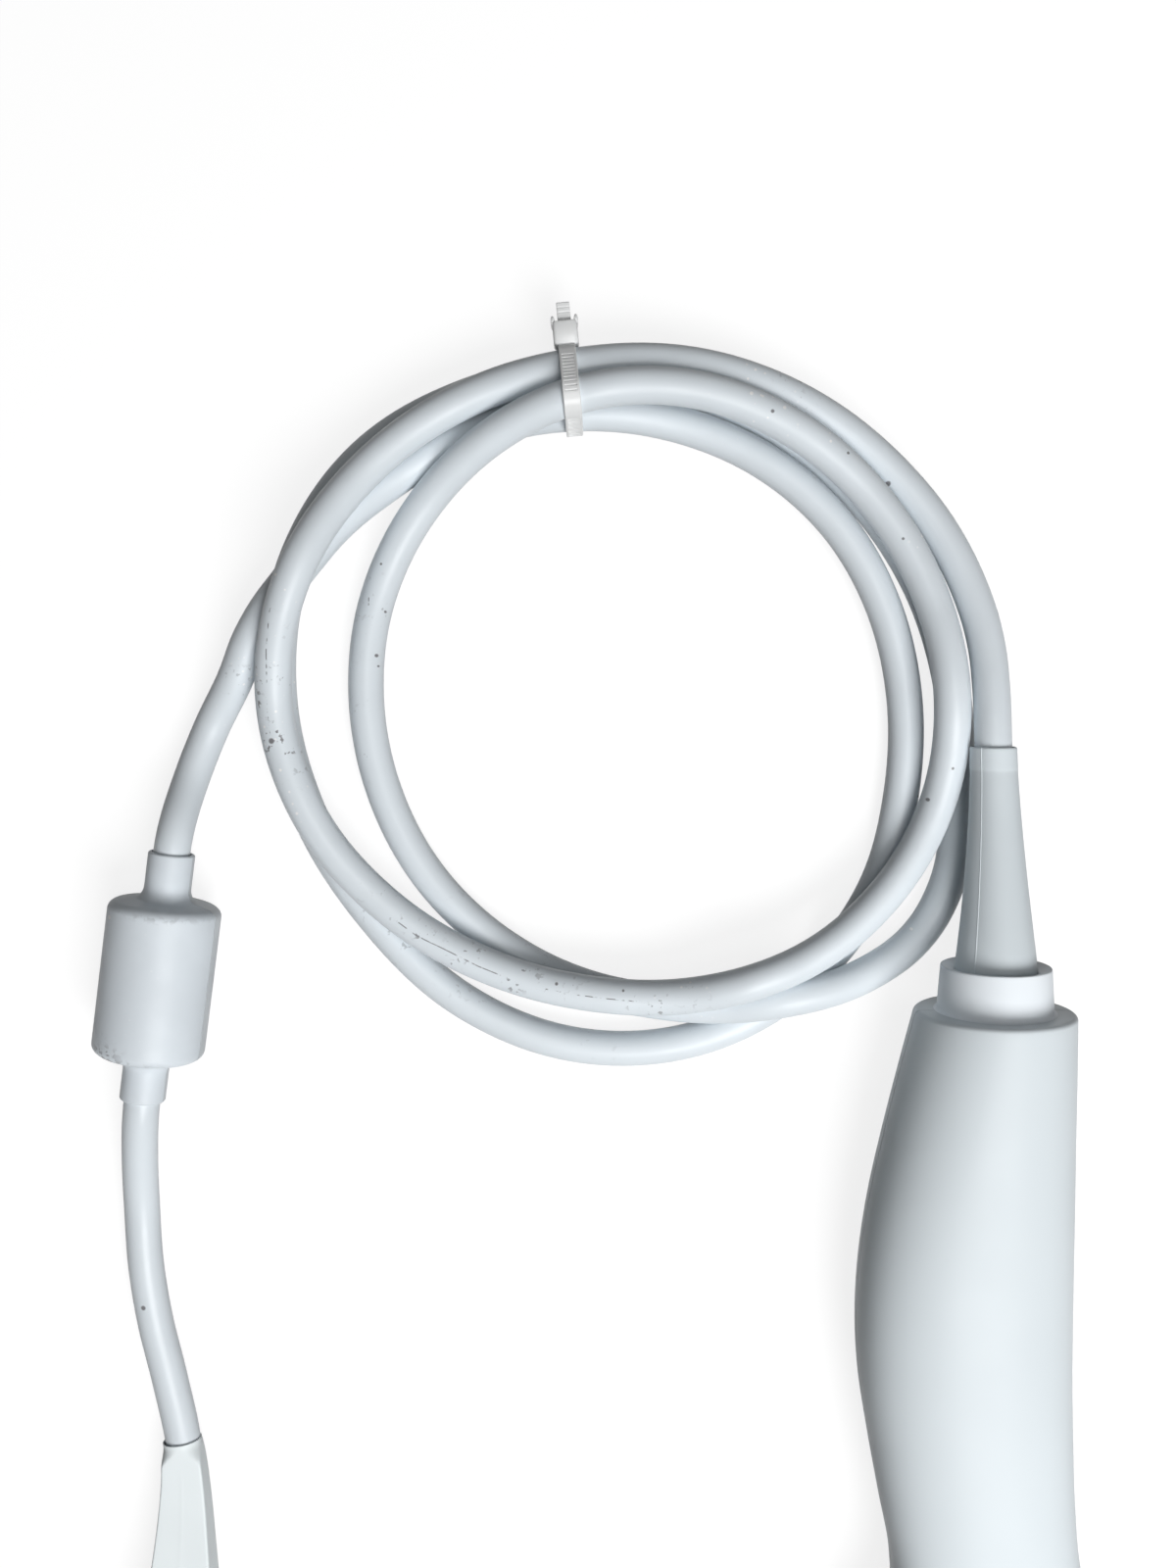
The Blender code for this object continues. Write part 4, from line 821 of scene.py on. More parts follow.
    def ferrite_point(self, distance: float) -> Array:
        """A point on the ferrite's axis, a distance below its upper mouth."""
        flat = np.array(self.ferrite_top) + self.ferrite_axis() * distance
        return np.array([flat[0], flat[1], self.ferrite_radius])

    def plug_points(self, distance: Array) -> Array:
        """Points on the connector boot's middle line, distances in from its mouth.

        Args:
            distance: distances in from the mouth.

        Returns:
            An (n, 3) array.
        """
        distance = np.atleast_1d(distance)
        rise = ease(distance, 0.0, self.plug_boot_length)
        height = self.plug_mouth_height + (self.plug_height / 2 - self.plug_mouth_height) * rise
        bend = self.plug_boot_bend * np.exp(-distance / self.plug_boot_fade)
        sway = self.plug_boot_sway * (1 - ease(distance, self.plug_boot_length / 2, self.plug_boot_length))
        return np.stack([self.plug_x - bend + sway, self.plug_mouth_y - distance, height], axis=-1)

    def points(self) -> Array:
        """The whole line, a step apart, on one smooth curve through the route's own points.

        Returns:
            An (n, 3) array.
        """
        y = np.linspace(self.start_y, self.boot_mouth_y, 9)
        straight = np.stack([self.boot_x(y), y, np.full_like(y, AXIS_HEIGHT)], axis=-1)
        lead = np.linspace(-self.ferrite_lead, self.ferrite_length + self.ferrite_lead, 9)
        ends = np.array([self.ferrite_point(d) for d in lead])
        steps = np.append(np.linspace(0.003, self.plug_boot_length, 7), self.plug_boot_length + self.tail)
        keys = np.concatenate([straight, self.coil(np.arange(2.0, 1261.0, 5.0)),
                               np.array(self.to_ferrite) / 1000, ends, np.array(self.to_plug) / 1000,
                               self.plug_points(steps)])
        run = run_along(keys)
        fine = smooth_values(run, keys, np.linspace(0.0, run[-1], 6000))
        length = run_along(fine)
        at = np.linspace(0.0, length[-1], int(length[-1] / self.step))
        return sampled(at, length, fine)


@dataclass
class Cable:
    """The cable's round jacket: a circle carried along the route, its frame kept level."""

    route: CableRoute
    sides: int = 32
    worn_places: tuple[tuple[float, float, float], ...] = WORN_PLACES
    dusty_places: tuple[tuple[float, float, float], ...] = DUSTY_PLACES
    scuff_lines: tuple[tuple[tuple[float, float], ...], ...] = SCUFF_LINES

    def build(self, with_pieces: Sequence[Thing]) -> Thing:
        """Args:
            with_pieces: what is on the cable: its ferrite, tie and connector; not used.

        Returns:
            The cable.
        """
        path = self.route.points()
        along = np.gradient(path, axis=0)
        along /= np.linalg.norm(along, axis=1, keepdims=True)
        side = np.cross(along, [0.0, 0.0, 1.0])
        side /= np.linalg.norm(side, axis=1, keepdims=True)
        up = np.cross(side, along)
        angles = turn(self.sides)
        ring = np.cos(angles)[None, :, None] * side[:, None] + np.sin(angles)[None, :, None] * up[:, None]
        grid = path[:, None] + ring * CABLE_DIAMETER / 2
        cable = solid("cable_jacket", grid)
        points = np.concatenate([grid.reshape(-1, 3), path[:1], path[-1:]])
        set_attribute(cable, "worn", self.patches(points, self.worn_places))
        set_attribute(cable, "dusty", self.patches(points, self.dusty_places))
        set_attribute(cable, "scuff", self.from_scuffs(points))
        settle(cable, JACKET, "cable_jacket", "cable")
        return cable

    def patches(self, points: Array, marks: Sequence[tuple[float, float, float]]) -> Array:
        """Soft round patches, in millimetres: 1 at each mark's middle, fading out over its reach.

        Args:
            points: the jacket's points.
            marks: an x, a y and a reach for each patch.

        Returns:
            A strength from 0 to 1 for each point.
        """
        total = np.zeros(len(points))
        for x, y, reach in marks:
            distance = np.hypot(points[:, 0] * 1000 - x, points[:, 1] * 1000 - y) / reach
            total += np.exp(-(distance**2))
        return np.clip(total, 0.0, 1.0)

    def from_scuffs(self, points: Array) -> Array:
        """Distance seen from above to the nearest scuff line, in metres, with opposite signs on its
        two sides, so that it passes through zero on the line itself. Past a line's ends it grows
        eight times as fast.

        Args:
            points: the jacket's points.

        Returns:
            A distance for each point.
        """
        best = np.full(len(points), 1.0)
        for line in self.scuff_lines:
            corners = np.array(line) / 1000
            for start, end in zip(corners[:-1], corners[1:]):
                length = float(np.linalg.norm(end - start))
                along = (end - start) / length
                offset = points[:, :2] - start
                run = offset @ along
                across = offset @ np.array([-along[1], along[0]])
                past = np.maximum(np.maximum(-run, run - length), 0.0)
                signed = np.where(across < 0, -1.0, 1.0) * (np.abs(across) + 8 * past)
                best = np.where(np.abs(signed) < np.abs(best), signed, best)
        return best


# The handle


@dataclass
class Handle:
    """The handle's two housing halves, nose and lens.

    Each section is a superellipse whose width, height and squareness follow the outline table:
    share of the length, belly, spine flare, way from body to neck thickness, squareness.
    """

    shell_length: float = 0.1486
    shoulder_radius: float = 0.0170
    shoulder_round: float = 0.0010
    belly_bulge: float = 0.0118
    spine_flare: float = 0.0145
    body_half_thickness: float = 0.0175
    neck_half_thickness: float = 0.0133
    wall: float = 0.0022
    parting: float = 0.00012
    nose_half_width: float = 0.0305
    nose_half_height: float = 0.0136
    nose_rim: float = 0.0024
    nose_spigot: float = 0.0050
    nose_spigot_wall: float = 0.0014
    nose_edge: float = 0.0012
    nose_edge_start: float = 0.90
    nose_dense: float = 0.08
    nose_blend: float = 0.7
    nose_squareness: float = 4.0
    lens_radius: float = 0.0600
    lens_tip_y: float = -0.1140
    lens_proud: float = 0.0012
    lens_thickness: float = 0.0016
    lens_crown: float = 0.0006
    lens_edge: float = 0.0005
    lens_edge_start: float = 0.93
    spigot_hole: float = 0.0098
    outline: tuple[tuple[float, float, float, float, float], ...] = (
        (0.00, 0.00, 0.000, 0.12, 2.00),
        (0.09, 0.28, 0.010, 0.06, 2.06),
        (0.19, 0.57, 0.012, 0.00, 2.14),
        (0.28, 0.80, 0.020, 0.00, 2.20),
        (0.39, 0.97, 0.028, 0.00, 2.25),
        (0.46, 1.00, 0.036, 0.00, 2.25),
        (0.54, 0.94, 0.052, 0.06, 2.25),
        (0.63, 0.76, 0.092, 0.22, 2.25),
        (0.73, 0.52, 0.150, 0.48, 2.30),
        (0.83, 0.28, 0.262, 0.76, 2.50),
        (0.90, 0.27, 0.445, 0.92, 2.90),
        (0.96, 0.57, 0.755, 1.00, 3.40),
        (1.00, 0.89, 0.980, 1.00, 3.80),
    )

    def sections(self, along: Array, inset: float, angles: Array) -> Array:
        """Rings of the handle's surface, drawn in by inset and rounded at the shoulder.

        Args:
            along: distances from the shoulder.
            inset: how far the rings are drawn in.
            angles: where each ring's points lie.

        Returns:
            (along, angles, 3) points.
        """
        table = np.asarray(self.outline)
        values = smooth_values(table[:, 0], table[:, 1:], along / self.shell_length)
        belly = self.shoulder_radius + self.belly_bulge * values[:, 0]
        spine = self.shoulder_radius + self.spine_flare * values[:, 1]
        drop = (self.neck_half_thickness - self.body_half_thickness) * values[:, 2]
        thickness = np.minimum(self.body_half_thickness + drop, AXIS_HEIGHT)
        middle = AXIS_X + (spine - belly) / 2
        short = np.clip(self.shoulder_round - along, 0.0, None)
        drawn = inset + self.shoulder_round - np.sqrt(self.shoulder_round**2 - short**2)
        across, up = oval(((belly + spine) / 2 - drawn)[:, None], (thickness - drawn)[:, None],
                          values[:, 3:4], angles[None])
        y = np.broadcast_to((SHOULDER_Y - along)[:, None], across.shape)
        return np.stack([middle[:, None] + across, y, AXIS_HEIGHT + up], axis=-1)

    def split(self, grid: Array, side: Side) -> Array:
        """Keeps a half clear of the parting line.

        Args:
            grid: points of a half.
            side: which half it is.

        Returns:
            The points, kept clear.
        """
        up = np.maximum(np.abs(grid[..., 2] - AXIS_HEIGHT), self.parting) * side.value
        return np.concatenate([grid[..., :2], (AXIS_HEIGHT + up)[..., None]], axis=-1)

    def half(self, side: Side) -> Thing:
        """One half of the housing: an outer and an inner skin, and a round hole for the collar.

        Args:
            side: which half.

        Returns:
            The new piece.
        """
        angles = np.linspace(0.0, pi, 97) * side.value
        corner = self.shoulder_round * (1 - np.cos(quarter(9)))
        body = np.linspace(self.shoulder_round, self.shell_length, 120)[1:]
        end = [self.wall, self.wall + GAP]
        along = np.unique(np.concatenate([corner, end, body]))
        outer = self.split(self.sections(along, 0.0, angles), side)
        inner = self.split(self.sections(along, self.wall, angles), side)
        hole = revolve(np.array([[0.0, self.spigot_hole]]), (AXIS_X, SHOULDER_Y, AXIS_HEIGHT),
                       np.array([0.0, -1.0]), angles)[0]
        at_end = along <= self.wall + GAP / 2
        ring = np.broadcast_to(hole, inner[at_end].shape).copy()
        ring[..., 1] = (SHOULDER_Y - along[at_end])[:, None]
        inner[at_end] = self.split(ring, side)
        name = f"handle_housing_{side.name.lower()}"
        return settle(wall(name, outer, inner, closed=False), SHELL, "shell",
                      f"handle_shell_{side.name.lower()}")

    def front(self, x: Array) -> Array:
        """The curved front of the array: an arc across the nose, in y."""
        return self.lens_tip_y + self.lens_radius - np.sqrt(self.lens_radius**2 - x**2)

    def nose(self) -> Thing:
        """The nose: a loft from the housing's end to the rim round the lens, with its spigot.

        Returns:
            The new piece.
        """
        angles = turn(192)
        start = SHOULDER_Y - self.shell_length - GAP
        end = self.sections(np.array([self.shell_length]), 0.0, angles)[0]
        backs = np.array([self.nose_spigot, self.nose_spigot * 0.5, GAP * 0.5])
        spigot_inset = self.wall + GAP
        along = self.shell_length - backs + GAP
        outer = list(self.sections(along, spigot_inset, angles))
        inner = list(self.sections(along, spigot_inset + self.nose_spigot_wall, angles))
        window = oval(self.nose_half_width - self.nose_rim, self.nose_half_height - self.nose_rim,
                      self.nose_squareness, angles)
        last = 1 - self.nose_dense * np.cos(quarter(8))
        shares = np.concatenate([np.linspace(0.0, last[0], 24), last[1:]])
        for share in shares:
            trim = self.nose_edge * float(ease(share, self.nose_edge_start, 1.0))
            across, up = oval(self.nose_half_width - trim, self.nose_half_height - trim,
                              self.nose_squareness, angles)
            blend = float(ease(share, 0.0, self.nose_blend))
            x = end[:, 0] * (1 - blend) + across * blend
            z = end[:, 2] * (1 - blend) + (AXIS_HEIGHT + up) * blend
            y = start + (self.front(x) + self.lens_proud - start) * share
            outer.append(np.stack([x, y, z], axis=-1))
            bore_y = start + (self.front(window[0]) + self.lens_proud - start) * share
            inner.append(np.stack([window[0], bore_y, AXIS_HEIGHT + window[1]], axis=-1))
        return settle(wall("nose", np.array(outer), np.array(inner)), SHELL, "shell", "nose_frame")

    def lens(self) -> Thing:
        """The silicone lens: a curved, slightly crowned sheet that fills the nose's window.

        Returns:
            The new piece.
        """
        angles = turn(160)
        half_width = self.nose_half_width - self.nose_rim - GAP
        half_height = self.nose_half_height - self.nose_rim - GAP
        grid = []
        depth = self.lens_proud + self.lens_thickness
        for back, shares in ((0.0, np.linspace(0.02, 1.0, 40)), (depth, np.linspace(1.0, 0.02, 12))):
            for share in shares:
                across, up = oval(half_width * share, half_height * share, self.nose_squareness, angles)
                soft = self.lens_edge * float(ease(share, self.lens_edge_start, 1.0)) if back == 0.0 else 0.0
                crown = self.lens_crown * (up / half_height) ** 2 if back == 0.0 else 0.0
                y = self.front(across) + back + crown + soft
                grid.append(np.stack([across, y, AXIS_HEIGHT + up], axis=-1))
        return settle(solid("lens", np.array(grid)), SILICONE, "lens", "acoustic_lens")

    def build(self) -> None:
        """Makes every piece of the handle."""
        self.half(Side.UPPER)
        self.half(Side.LOWER)
        self.nose()
        self.lens()


@dataclass
class StrainRelief:
    """The collar ring and the tapered rubber boot at the handle's cable end."""

    route: CableRoute
    collar_radius: float = 0.0122
    collar_front_radius: float = 0.0117
    collar_length: float = 0.0097
    recess: float = 0.0006
    foot: float = 0.00003
    fillet: float = 0.0007
    lip: float = 0.0014
    edge: float = 0.0007
    spigot_radius: float = 0.0095
    spigot_length: float = 0.0038
    throat_step: float = 0.0018
    throat_end: float = 0.0003
    seat: float = 0.0009
    draft: float = 0.0001
    spigot_round: float = 0.0004
    rim_round: float = 0.0005
    well_round: float = 0.0002
    root_radius: float = 0.0086
    mouth_radius: float = 0.0048
    flange_radius: float = 0.0092
    flange_edge: float = 0.0004
    taper_power: float = 1.55
    band: float = 0.0050
    band_rise: float = 0.00007
    band_edge: float = 0.0002
    mouth_round: float = 0.0005
    mouth_pull: float = 0.0004
    mouth_flare: float = 0.00025
    mouth_flare_length: float = 0.0014
    seam_angle: float = 136.0
    seam_height: float = 0.00012
    seam_width: float = 0.014
    seam_rise: float = 0.001
    seam_paleness: float = 1.4
    seam_everywhere: float = 0.35
    seam_at_root: float = 0.7
    seam_root_fade: tuple[float, float] = (0.005, 0.010)
    seam_mouth_fade: tuple[float, float] = (0.0068, 0.0060)

    def collar(self) -> Thing:
        """The collar: a turned ring with a hollow quarter-round at its foot, tangent to the shoulder
        and to the wall, and a shallow dish round the boot.

        Returns:
            The new piece.
        """
        base = self.foot
        tip = self.collar_length
        floor = tip - self.recess
        well = self.flange_radius + GAP
        throat = well - self.throat_step
        root = self.root_radius + GAP / 2
        sweep = quarter(10)
        hollow = np.stack([base + self.fillet * (1 - np.cos(sweep)),
                           self.collar_radius + self.fillet * (1 - np.sin(sweep))], axis=-1)
        spigot = polyline_ease([(-self.spigot_length, self.spigot_radius), (base, self.spigot_radius),
                                hollow[0]], self.spigot_round, 7)
        rim = polyline_ease([hollow[-1], (tip, self.collar_front_radius - self.draft),
                             (tip, self.collar_front_radius - self.edge)], self.rim_round, 7)
        outside = np.concatenate([spigot, hollow[1:], rim[1:]])
        inside = polyline_ease([(-self.spigot_length, throat), (GAP + self.throat_end, throat),
                                (GAP + self.seat, well), (floor - self.lip, well),
                                (floor - self.lip + GAP, root), (floor, root),
                                (tip, self.collar_front_radius - self.edge - self.draft)],
                               self.well_round, 6)
        centre = (AXIS_X, SHOULDER_Y, AXIS_HEIGHT)
        axis = np.array([0.0, 1.0])
        rings = turn(144)
        ring = wall("collar", revolve(outside, centre, axis, rings), revolve(inside, centre, axis, rings))
        return settle(ring, COLLAR, "collar", "collar_ring")

    def boot(self) -> Thing:
        """The boot: a hollow trumpet, radius = mouth + (root - mouth) * (1 - t) ** power, with a
        thin moulding seam and a paler band at its mouth.

        Returns:
            The new piece.
        """
        tip = SHOULDER_Y + self.collar_length
        mouth = self.route.boot_mouth_y
        flange_start = SHOULDER_Y + GAP + self.seat + GAP
        flange_end = tip - self.recess - self.lip - GAP
        flange = [flange_start, flange_start + self.flange_edge, flange_end - self.flange_edge, flange_end]
        flange_radii = [self.flange_radius - self.flange_edge, self.flange_radius, self.flange_radius,
                        self.root_radius]
        t = np.linspace(0.0, 1.0, 90)
        y = tip + (mouth - self.mouth_round - tip) * t
        radius = self.mouth_radius + (self.root_radius - self.mouth_radius) * (1 - t) ** self.taper_power
        radius = radius + self.band_rise * self.in_band(y)
        lip = quarter(6)[1:]
        y = np.concatenate([flange, y, mouth - self.mouth_round + self.mouth_round * np.sin(lip)])
        radius = np.concatenate([flange_radii, radius, radius[-1] - self.mouth_pull * (1 - np.cos(lip))])
        seam = radians(self.seam_angle)
        near = seam + np.linspace(-3, 3, 17) * self.seam_width
        angles = np.unique(np.concatenate([turn(120), near]))
        raised = self.seam_height * np.exp(-(((angles - seam) / self.seam_width) ** 2))
        past_tip = ease(y, tip - self.seam_rise, tip)
        bore = BORE + self.mouth_flare * ease(y, mouth - self.mouth_flare_length, mouth)
        outer = self.rings(y, radius[:, None] + raised * past_tip[:, None], angles)
        inner = self.rings(y, bore[:, None], angles)
        boot = wall("strain_relief", outer, inner)
        pale = np.broadcast_to(self.in_band(y)[:, None], outer.shape[:2]).ravel()
        at_mouth = ease(y, *(mouth - back for back in self.seam_mouth_fade))
        at_root = self.seam_at_root * (1 - ease(y, *(tip + on for on in self.seam_root_fade)))
        clear = (self.seam_everywhere + at_mouth + at_root) * past_tip
        line = (clear[:, None] * (raised / self.seam_height * self.seam_paleness)).ravel()
        set_attribute(boot, "pale", np.concatenate([np.maximum(pale, line), np.zeros(len(pale))]))
        return settle(boot, BOOT, "boot", "strain_relief_boot")

    def in_band(self, y: Array) -> Array:
        """1 in the paler band at the boot's mouth, 0 before it."""
        start = self.route.boot_mouth_y - self.band
        return ease(y, start - self.band_edge, start + self.band_edge)

    def rings(self, y: Array, radius: Array, angles: Array) -> Array:
        """Circles about the boot's bent middle line.

        Args:
            y: where the circles stand.
            radius: their radii, one row each.
            angles: where their points lie.

        Returns:
            (y, angles, 3) points.
        """
        x = self.route.boot_x(y)[:, None] + radius * np.cos(angles)
        z = AXIS_HEIGHT + radius * np.sin(angles)
        return np.stack([x, np.broadcast_to(y[:, None], x.shape), z], axis=-1)

    def build(self) -> None:
        """Makes the collar and the boot."""
        self.collar()
        self.boot()


# On the cable


@dataclass
class Ferrite:
    """The ferrite's case: two turned halves with necks, split a little above its right side."""

    route: CableRoute
    radius: float = 0.0120
    length: float = 0.0551
    neck: float = 0.0109
    body: float = 0.0342
    neck_radius: float = 0.00495
    foot_radius: float = 0.0049
    corner: float = 0.0028
    corner_length: float = 0.0022
    fillet_length: float = 0.0028
    fillet_rise: float = 0.0021
    edge: float = 0.0005
    wall: float = 0.0024
    parting: float = 12.0
    slit: float = 0.00014
    scuffs: tuple[tuple[float, float, float, float, float], ...] = (
        (12.6, 2.0, 0.6, 9.0, 0.35), (43.0, -7.0, 2.4, 3.4, 1.0), (44.6, -3.0, 0.8, 6.0, 0.6))
    dust: tuple[tuple[float, float, float, float, float], ...] = (
        (13.5, 1.5, 1.2, 2.5, 0.7), (30.0, 1.0, 14.0, 4.0, 0.25))

    def profile(self) -> Array:
        """Distance along and radius: neck, fillet, rounded body, fillet and foot.

        Returns:
            An (n, 2) array.
        """
        start, end = self.neck, self.neck + self.body
        q = quarter(14)
        lip = quarter(6)
        parts = [
            (self.edge * (1 - np.cos(lip)), self.neck_radius - self.edge * (1 - np.sin(lip))),
            (start - self.edge - self.fillet_length * (1 - np.sin(q)),
             self.neck_radius + self.fillet_rise * (1 - np.cos(q))),
            (start + self.corner_length * (1 - np.cos(q)), self.radius - self.corner * (1 - np.sin(q))),
            (np.linspace(start + self.corner_length, end - self.corner_length, 40)[1:-1], self.radius),
            (end - self.corner_length * (1 - np.sin(q)), self.radius - self.corner * (1 - np.cos(q))),
            (end + self.edge + self.fillet_length * (1 - np.sin(q[::-1])),
             self.foot_radius + self.fillet_rise * (1 - np.cos(q[::-1]))),
            (self.length - self.edge * (1 - np.sin(lip)), self.foot_radius - self.edge * (1 - np.cos(lip))),
        ]
        return np.concatenate([np.stack(np.broadcast_arrays(a, r), axis=-1) for a, r in parts])

    def half(self, side: Side) -> Thing:
        """One half of the case, with its cavity for the core and a bore for the cable.

        Args:
            side: which half.

        Returns:
            The new piece.
        """
        profile = self.profile()
        slit = self.slit / self.radius
        angles = np.linspace(slit, pi - slit, 73) * side.value + radians(self.parting)
        cavity = (profile[:, 0] > self.neck + self.wall) & (profile[:, 0] < self.neck + self.body - self.wall)
        hollow = np.where(cavity, self.radius - self.wall, BORE)
        axis = self.route.ferrite_axis()
        centre = self.route.ferrite_point(0.0)
        outer = revolve(profile, centre, axis, angles)
        inner = revolve(np.stack([profile[:, 0], hollow], axis=-1), centre, axis, angles)
        case = wall(f"ferrite_half_{side.name.lower()}", outer, inner, closed=False)
        points = np.concatenate([outer.reshape(-1, 3), inner.reshape(-1, 3)])
        set_attribute(case, "worn", self.patches(points, self.scuffs))
        set_attribute(case, "dusty", self.patches(points, self.dust))
        # The lower half takes the darker copy of the case's colour: painted shade.
        finish = CASE if side is Side.UPPER else CASE_IN_PAINTED_SHADE
        return settle(case, finish, "shell", f"ferrite_case_{side.name.lower()}")

    def patches(self, points: Array, marks: Sequence[tuple[float, float, float, float, float]]) -> Array:
        """Soft patches: millimetres along the axis and across it, the reach each way, a strength.

        Args:
            points: the case's points.
            marks: the five numbers of each patch.

        Returns:
            A strength from 0 to 1 for each point.
        """
        axis = self.route.ferrite_axis()
        offset = points[:, :2] - np.array(self.route.ferrite_top)
        along = offset @ axis * 1000
        across = (offset @ np.array([-axis[1], axis[0]])) * 1000
        total = np.zeros(len(points))
        for at, side, long, wide, strength in marks:
            total += strength * np.exp(-(((along - at) / long) ** 2) - (((across - side) / wide) ** 2))
        return np.clip(total, 0.0, 1.0)

    def build(self) -> list[Thing]:
        """Makes both halves and dresses the core."""
        dress_nodes(CERAMIC, "ferrite_core")
        return [self.half(Side.UPPER), self.half(Side.LOWER)]


@dataclass
class CableTie:
    """The cable tie: a ribbed strap round four strands, its head outside them and a cut tail."""

    route: CableRoute
    degrees: float = 102.5
    skew: float = 7.0
    reach: float = 0.0660
    width: float = 0.0036
    thickness: float = 0.0009
    clearance: float = 0.0001
    rib_pitch: float = 0.00096
    rib_depth: float = 0.00026
    groove_sides: tuple[float, float] = (0.35, 0.85)
    rail: float = 0.0005
    top_facing: float = 0.3
    plain: tuple[tuple[float, float], ...] = ((-0.001, 0.0026), (0.0112, 0.0160))
    ear_reach: float = 0.0011
    ear_half_width: float = 0.00045
    head_width: float = 0.0053
    head_depth: float = 0.0045
    head_height: float = 0.0062
    head_drop: float = 0.0010
    tail_width: float = 0.0028
    tail_length: float = 0.0040
    tail_thickness: float = 0.0011
    tail_pitch: float = 0.00105
    tail_groove: float = 0.00008
    tail_lift: float = 0.0010
    tail_edge: float = 0.0001
    strap_edge: float = 0.00018
    groove_edge: float = 0.0002
    head_edge: float = 0.0004
    squareness: float = 7.0
    ear_sweep: float = 0.48
    ear_height: tuple[float, float] = (0.30, 0.12)
    ear_sink: float = 0.0002
    ear_clear: float = 0.0001
    # How strong and where the painted shade lies, where the strap bends into the head.
    shade_share: float = 0.4
    shade_out: float = 0.0002
    shade_reach: float = 0.0009
    around: int = 1500

    def stand(self) -> tuple[Array, Array, Array]:
        """Where the tie stands.

        Returns:
            Its middle seen from above, its outward direction and the direction along the cable.
        """
        spoke = radians(self.degrees)
        lean = spoke - radians(self.skew)
        middle = np.array(self.route.centre) + self.reach * np.array([cos(spoke), sin(spoke)])
        return middle, np.array([cos(lean), sin(lean)]), np.array([-sin(lean), cos(lean)])

    def place(self, out: Array, up: Array, across: Array) -> Array:
        """Turns (outwards, height, along the cable) into a point.

        Args:
            out: distances outwards.
            up: heights.
            across: distances along the cable.

        Returns:
            The points.
        """
        middle, normal, side = self.stand()
        flat = middle + out[..., None] * normal + across[..., None] * side
        return np.concatenate([flat, up[..., None]], axis=-1)

    def strands(self) -> Array:
        """The four strands' middles as (outwards, height).

        Returns:
            A (4, 2) array.
        """
        points = self.route.coil(self.degrees + 360.0 * np.arange(4))
        middle, normal, _ = self.stand()
        return np.stack([(points[:, :2] - middle) @ normal, points[:, 2]], axis=-1)

    def loop(self) -> tuple[Array, Array]:
        """The strap's middle line and its outward normals, evenly spaced: for each direction the
        strand that reaches furthest, plus the strap's distance from the strand's middle.

        Returns:
            Two (n, 2) arrays of (outwards, height).
        """
        radius = CABLE_DIAMETER / 2 + self.clearance + self.thickness / 2
        facing = np.linspace(0.0, 2 * pi, 2400)
        normal = np.stack([np.cos(facing), np.sin(facing)], axis=-1)
        strands = self.strands()
        furthest = np.argmax(normal @ strands.T, axis=1)
        line = strands[furthest] + normal * radius
        run = run_along(line) + np.linspace(0.0, 1e-9, len(line))
        at = np.linspace(0.0, run[-1], self.around, endpoint=False)
        out = sampled(at, run, normal)
        return sampled(at, run, line), out / np.linalg.norm(out, axis=1, keepdims=True)

    def strap(self) -> tuple[Array, Array]:
        """The strap's grid and how deep in a groove each point lies, from 0 to 1: a rounded flat
        section carried round the loop. Thin grooves a quarter of the ribs' pitch wide, where
        cos(2 pi run / pitch) is near 1, cross its outer face between two rails, apart from the plain
        stretches on top.

        Returns:
            The grid's points, and a depth for each, which the tie's painted shade in its grooves follows.
        """
        middle, out = self.loop()
        spacing = np.linalg.norm(np.diff(middle, axis=0), axis=1).mean()
        run = np.arange(self.around) * spacing
        groove = ease(np.cos(2 * pi * run / self.rib_pitch), *self.groove_sides) * self.rib_depth
        inwards = middle[:, 0].max() - middle[:, 0]
        for start, end in self.plain:
            is_plain = (out[:, 1] > self.top_facing) & (inwards > start) & (inwards < end)
            groove = np.where(is_plain, 0.0, groove)
        half, thick, soft = self.width / 2, self.thickness / 2, self.strap_edge
        rail = half - self.rail
        inside = rail - self.groove_edge
        across = np.array([-half, -half, -half + soft, -rail, -inside, 0.0, inside, rail,
                           half - soft, half, half, half - soft, 0.0, -half + soft])
        rise = np.array([-thick + soft, thick - soft, thick, thick, thick, thick, thick, thick,
                         thick, thick - soft, -thick + soft, -thick, -thick, -thick])
        cut = np.array([0, 0, 0, 0, 1, 1, 1, 0, 0, 0, 0, 0, 0, 0])
        lift = rise[None] - cut[None] * groove[:, None]
        flat = middle[:, None] + out[:, None] * lift[..., None]
        depth = cut[None] * groove[:, None] / self.rib_depth
        return self.place(flat[..., 0], flat[..., 1], np.broadcast_to(across, lift.shape)), depth

    def bar(self, out: Array, half_across: Array, low: Array, high: Array) -> Array:
        """A bar outwards from the strap: rounded rectangles at distances out, with a half width and
        a lowest and highest height at each.

        Args:
            out: distances outwards.
            half_across: the half width at each.
            low: the lowest height at each.
            high: the highest height at each.

        Returns:
            (out, 32, 3) points.
        """
        angles = turn(32)
        across, up = oval(half_across[:, None], ((high - low) / 2)[:, None], self.squareness,
                          angles[None])
        height = ((high + low) / 2)[:, None] + up
        return self.place(np.broadcast_to(out[:, None], across.shape), height, across)

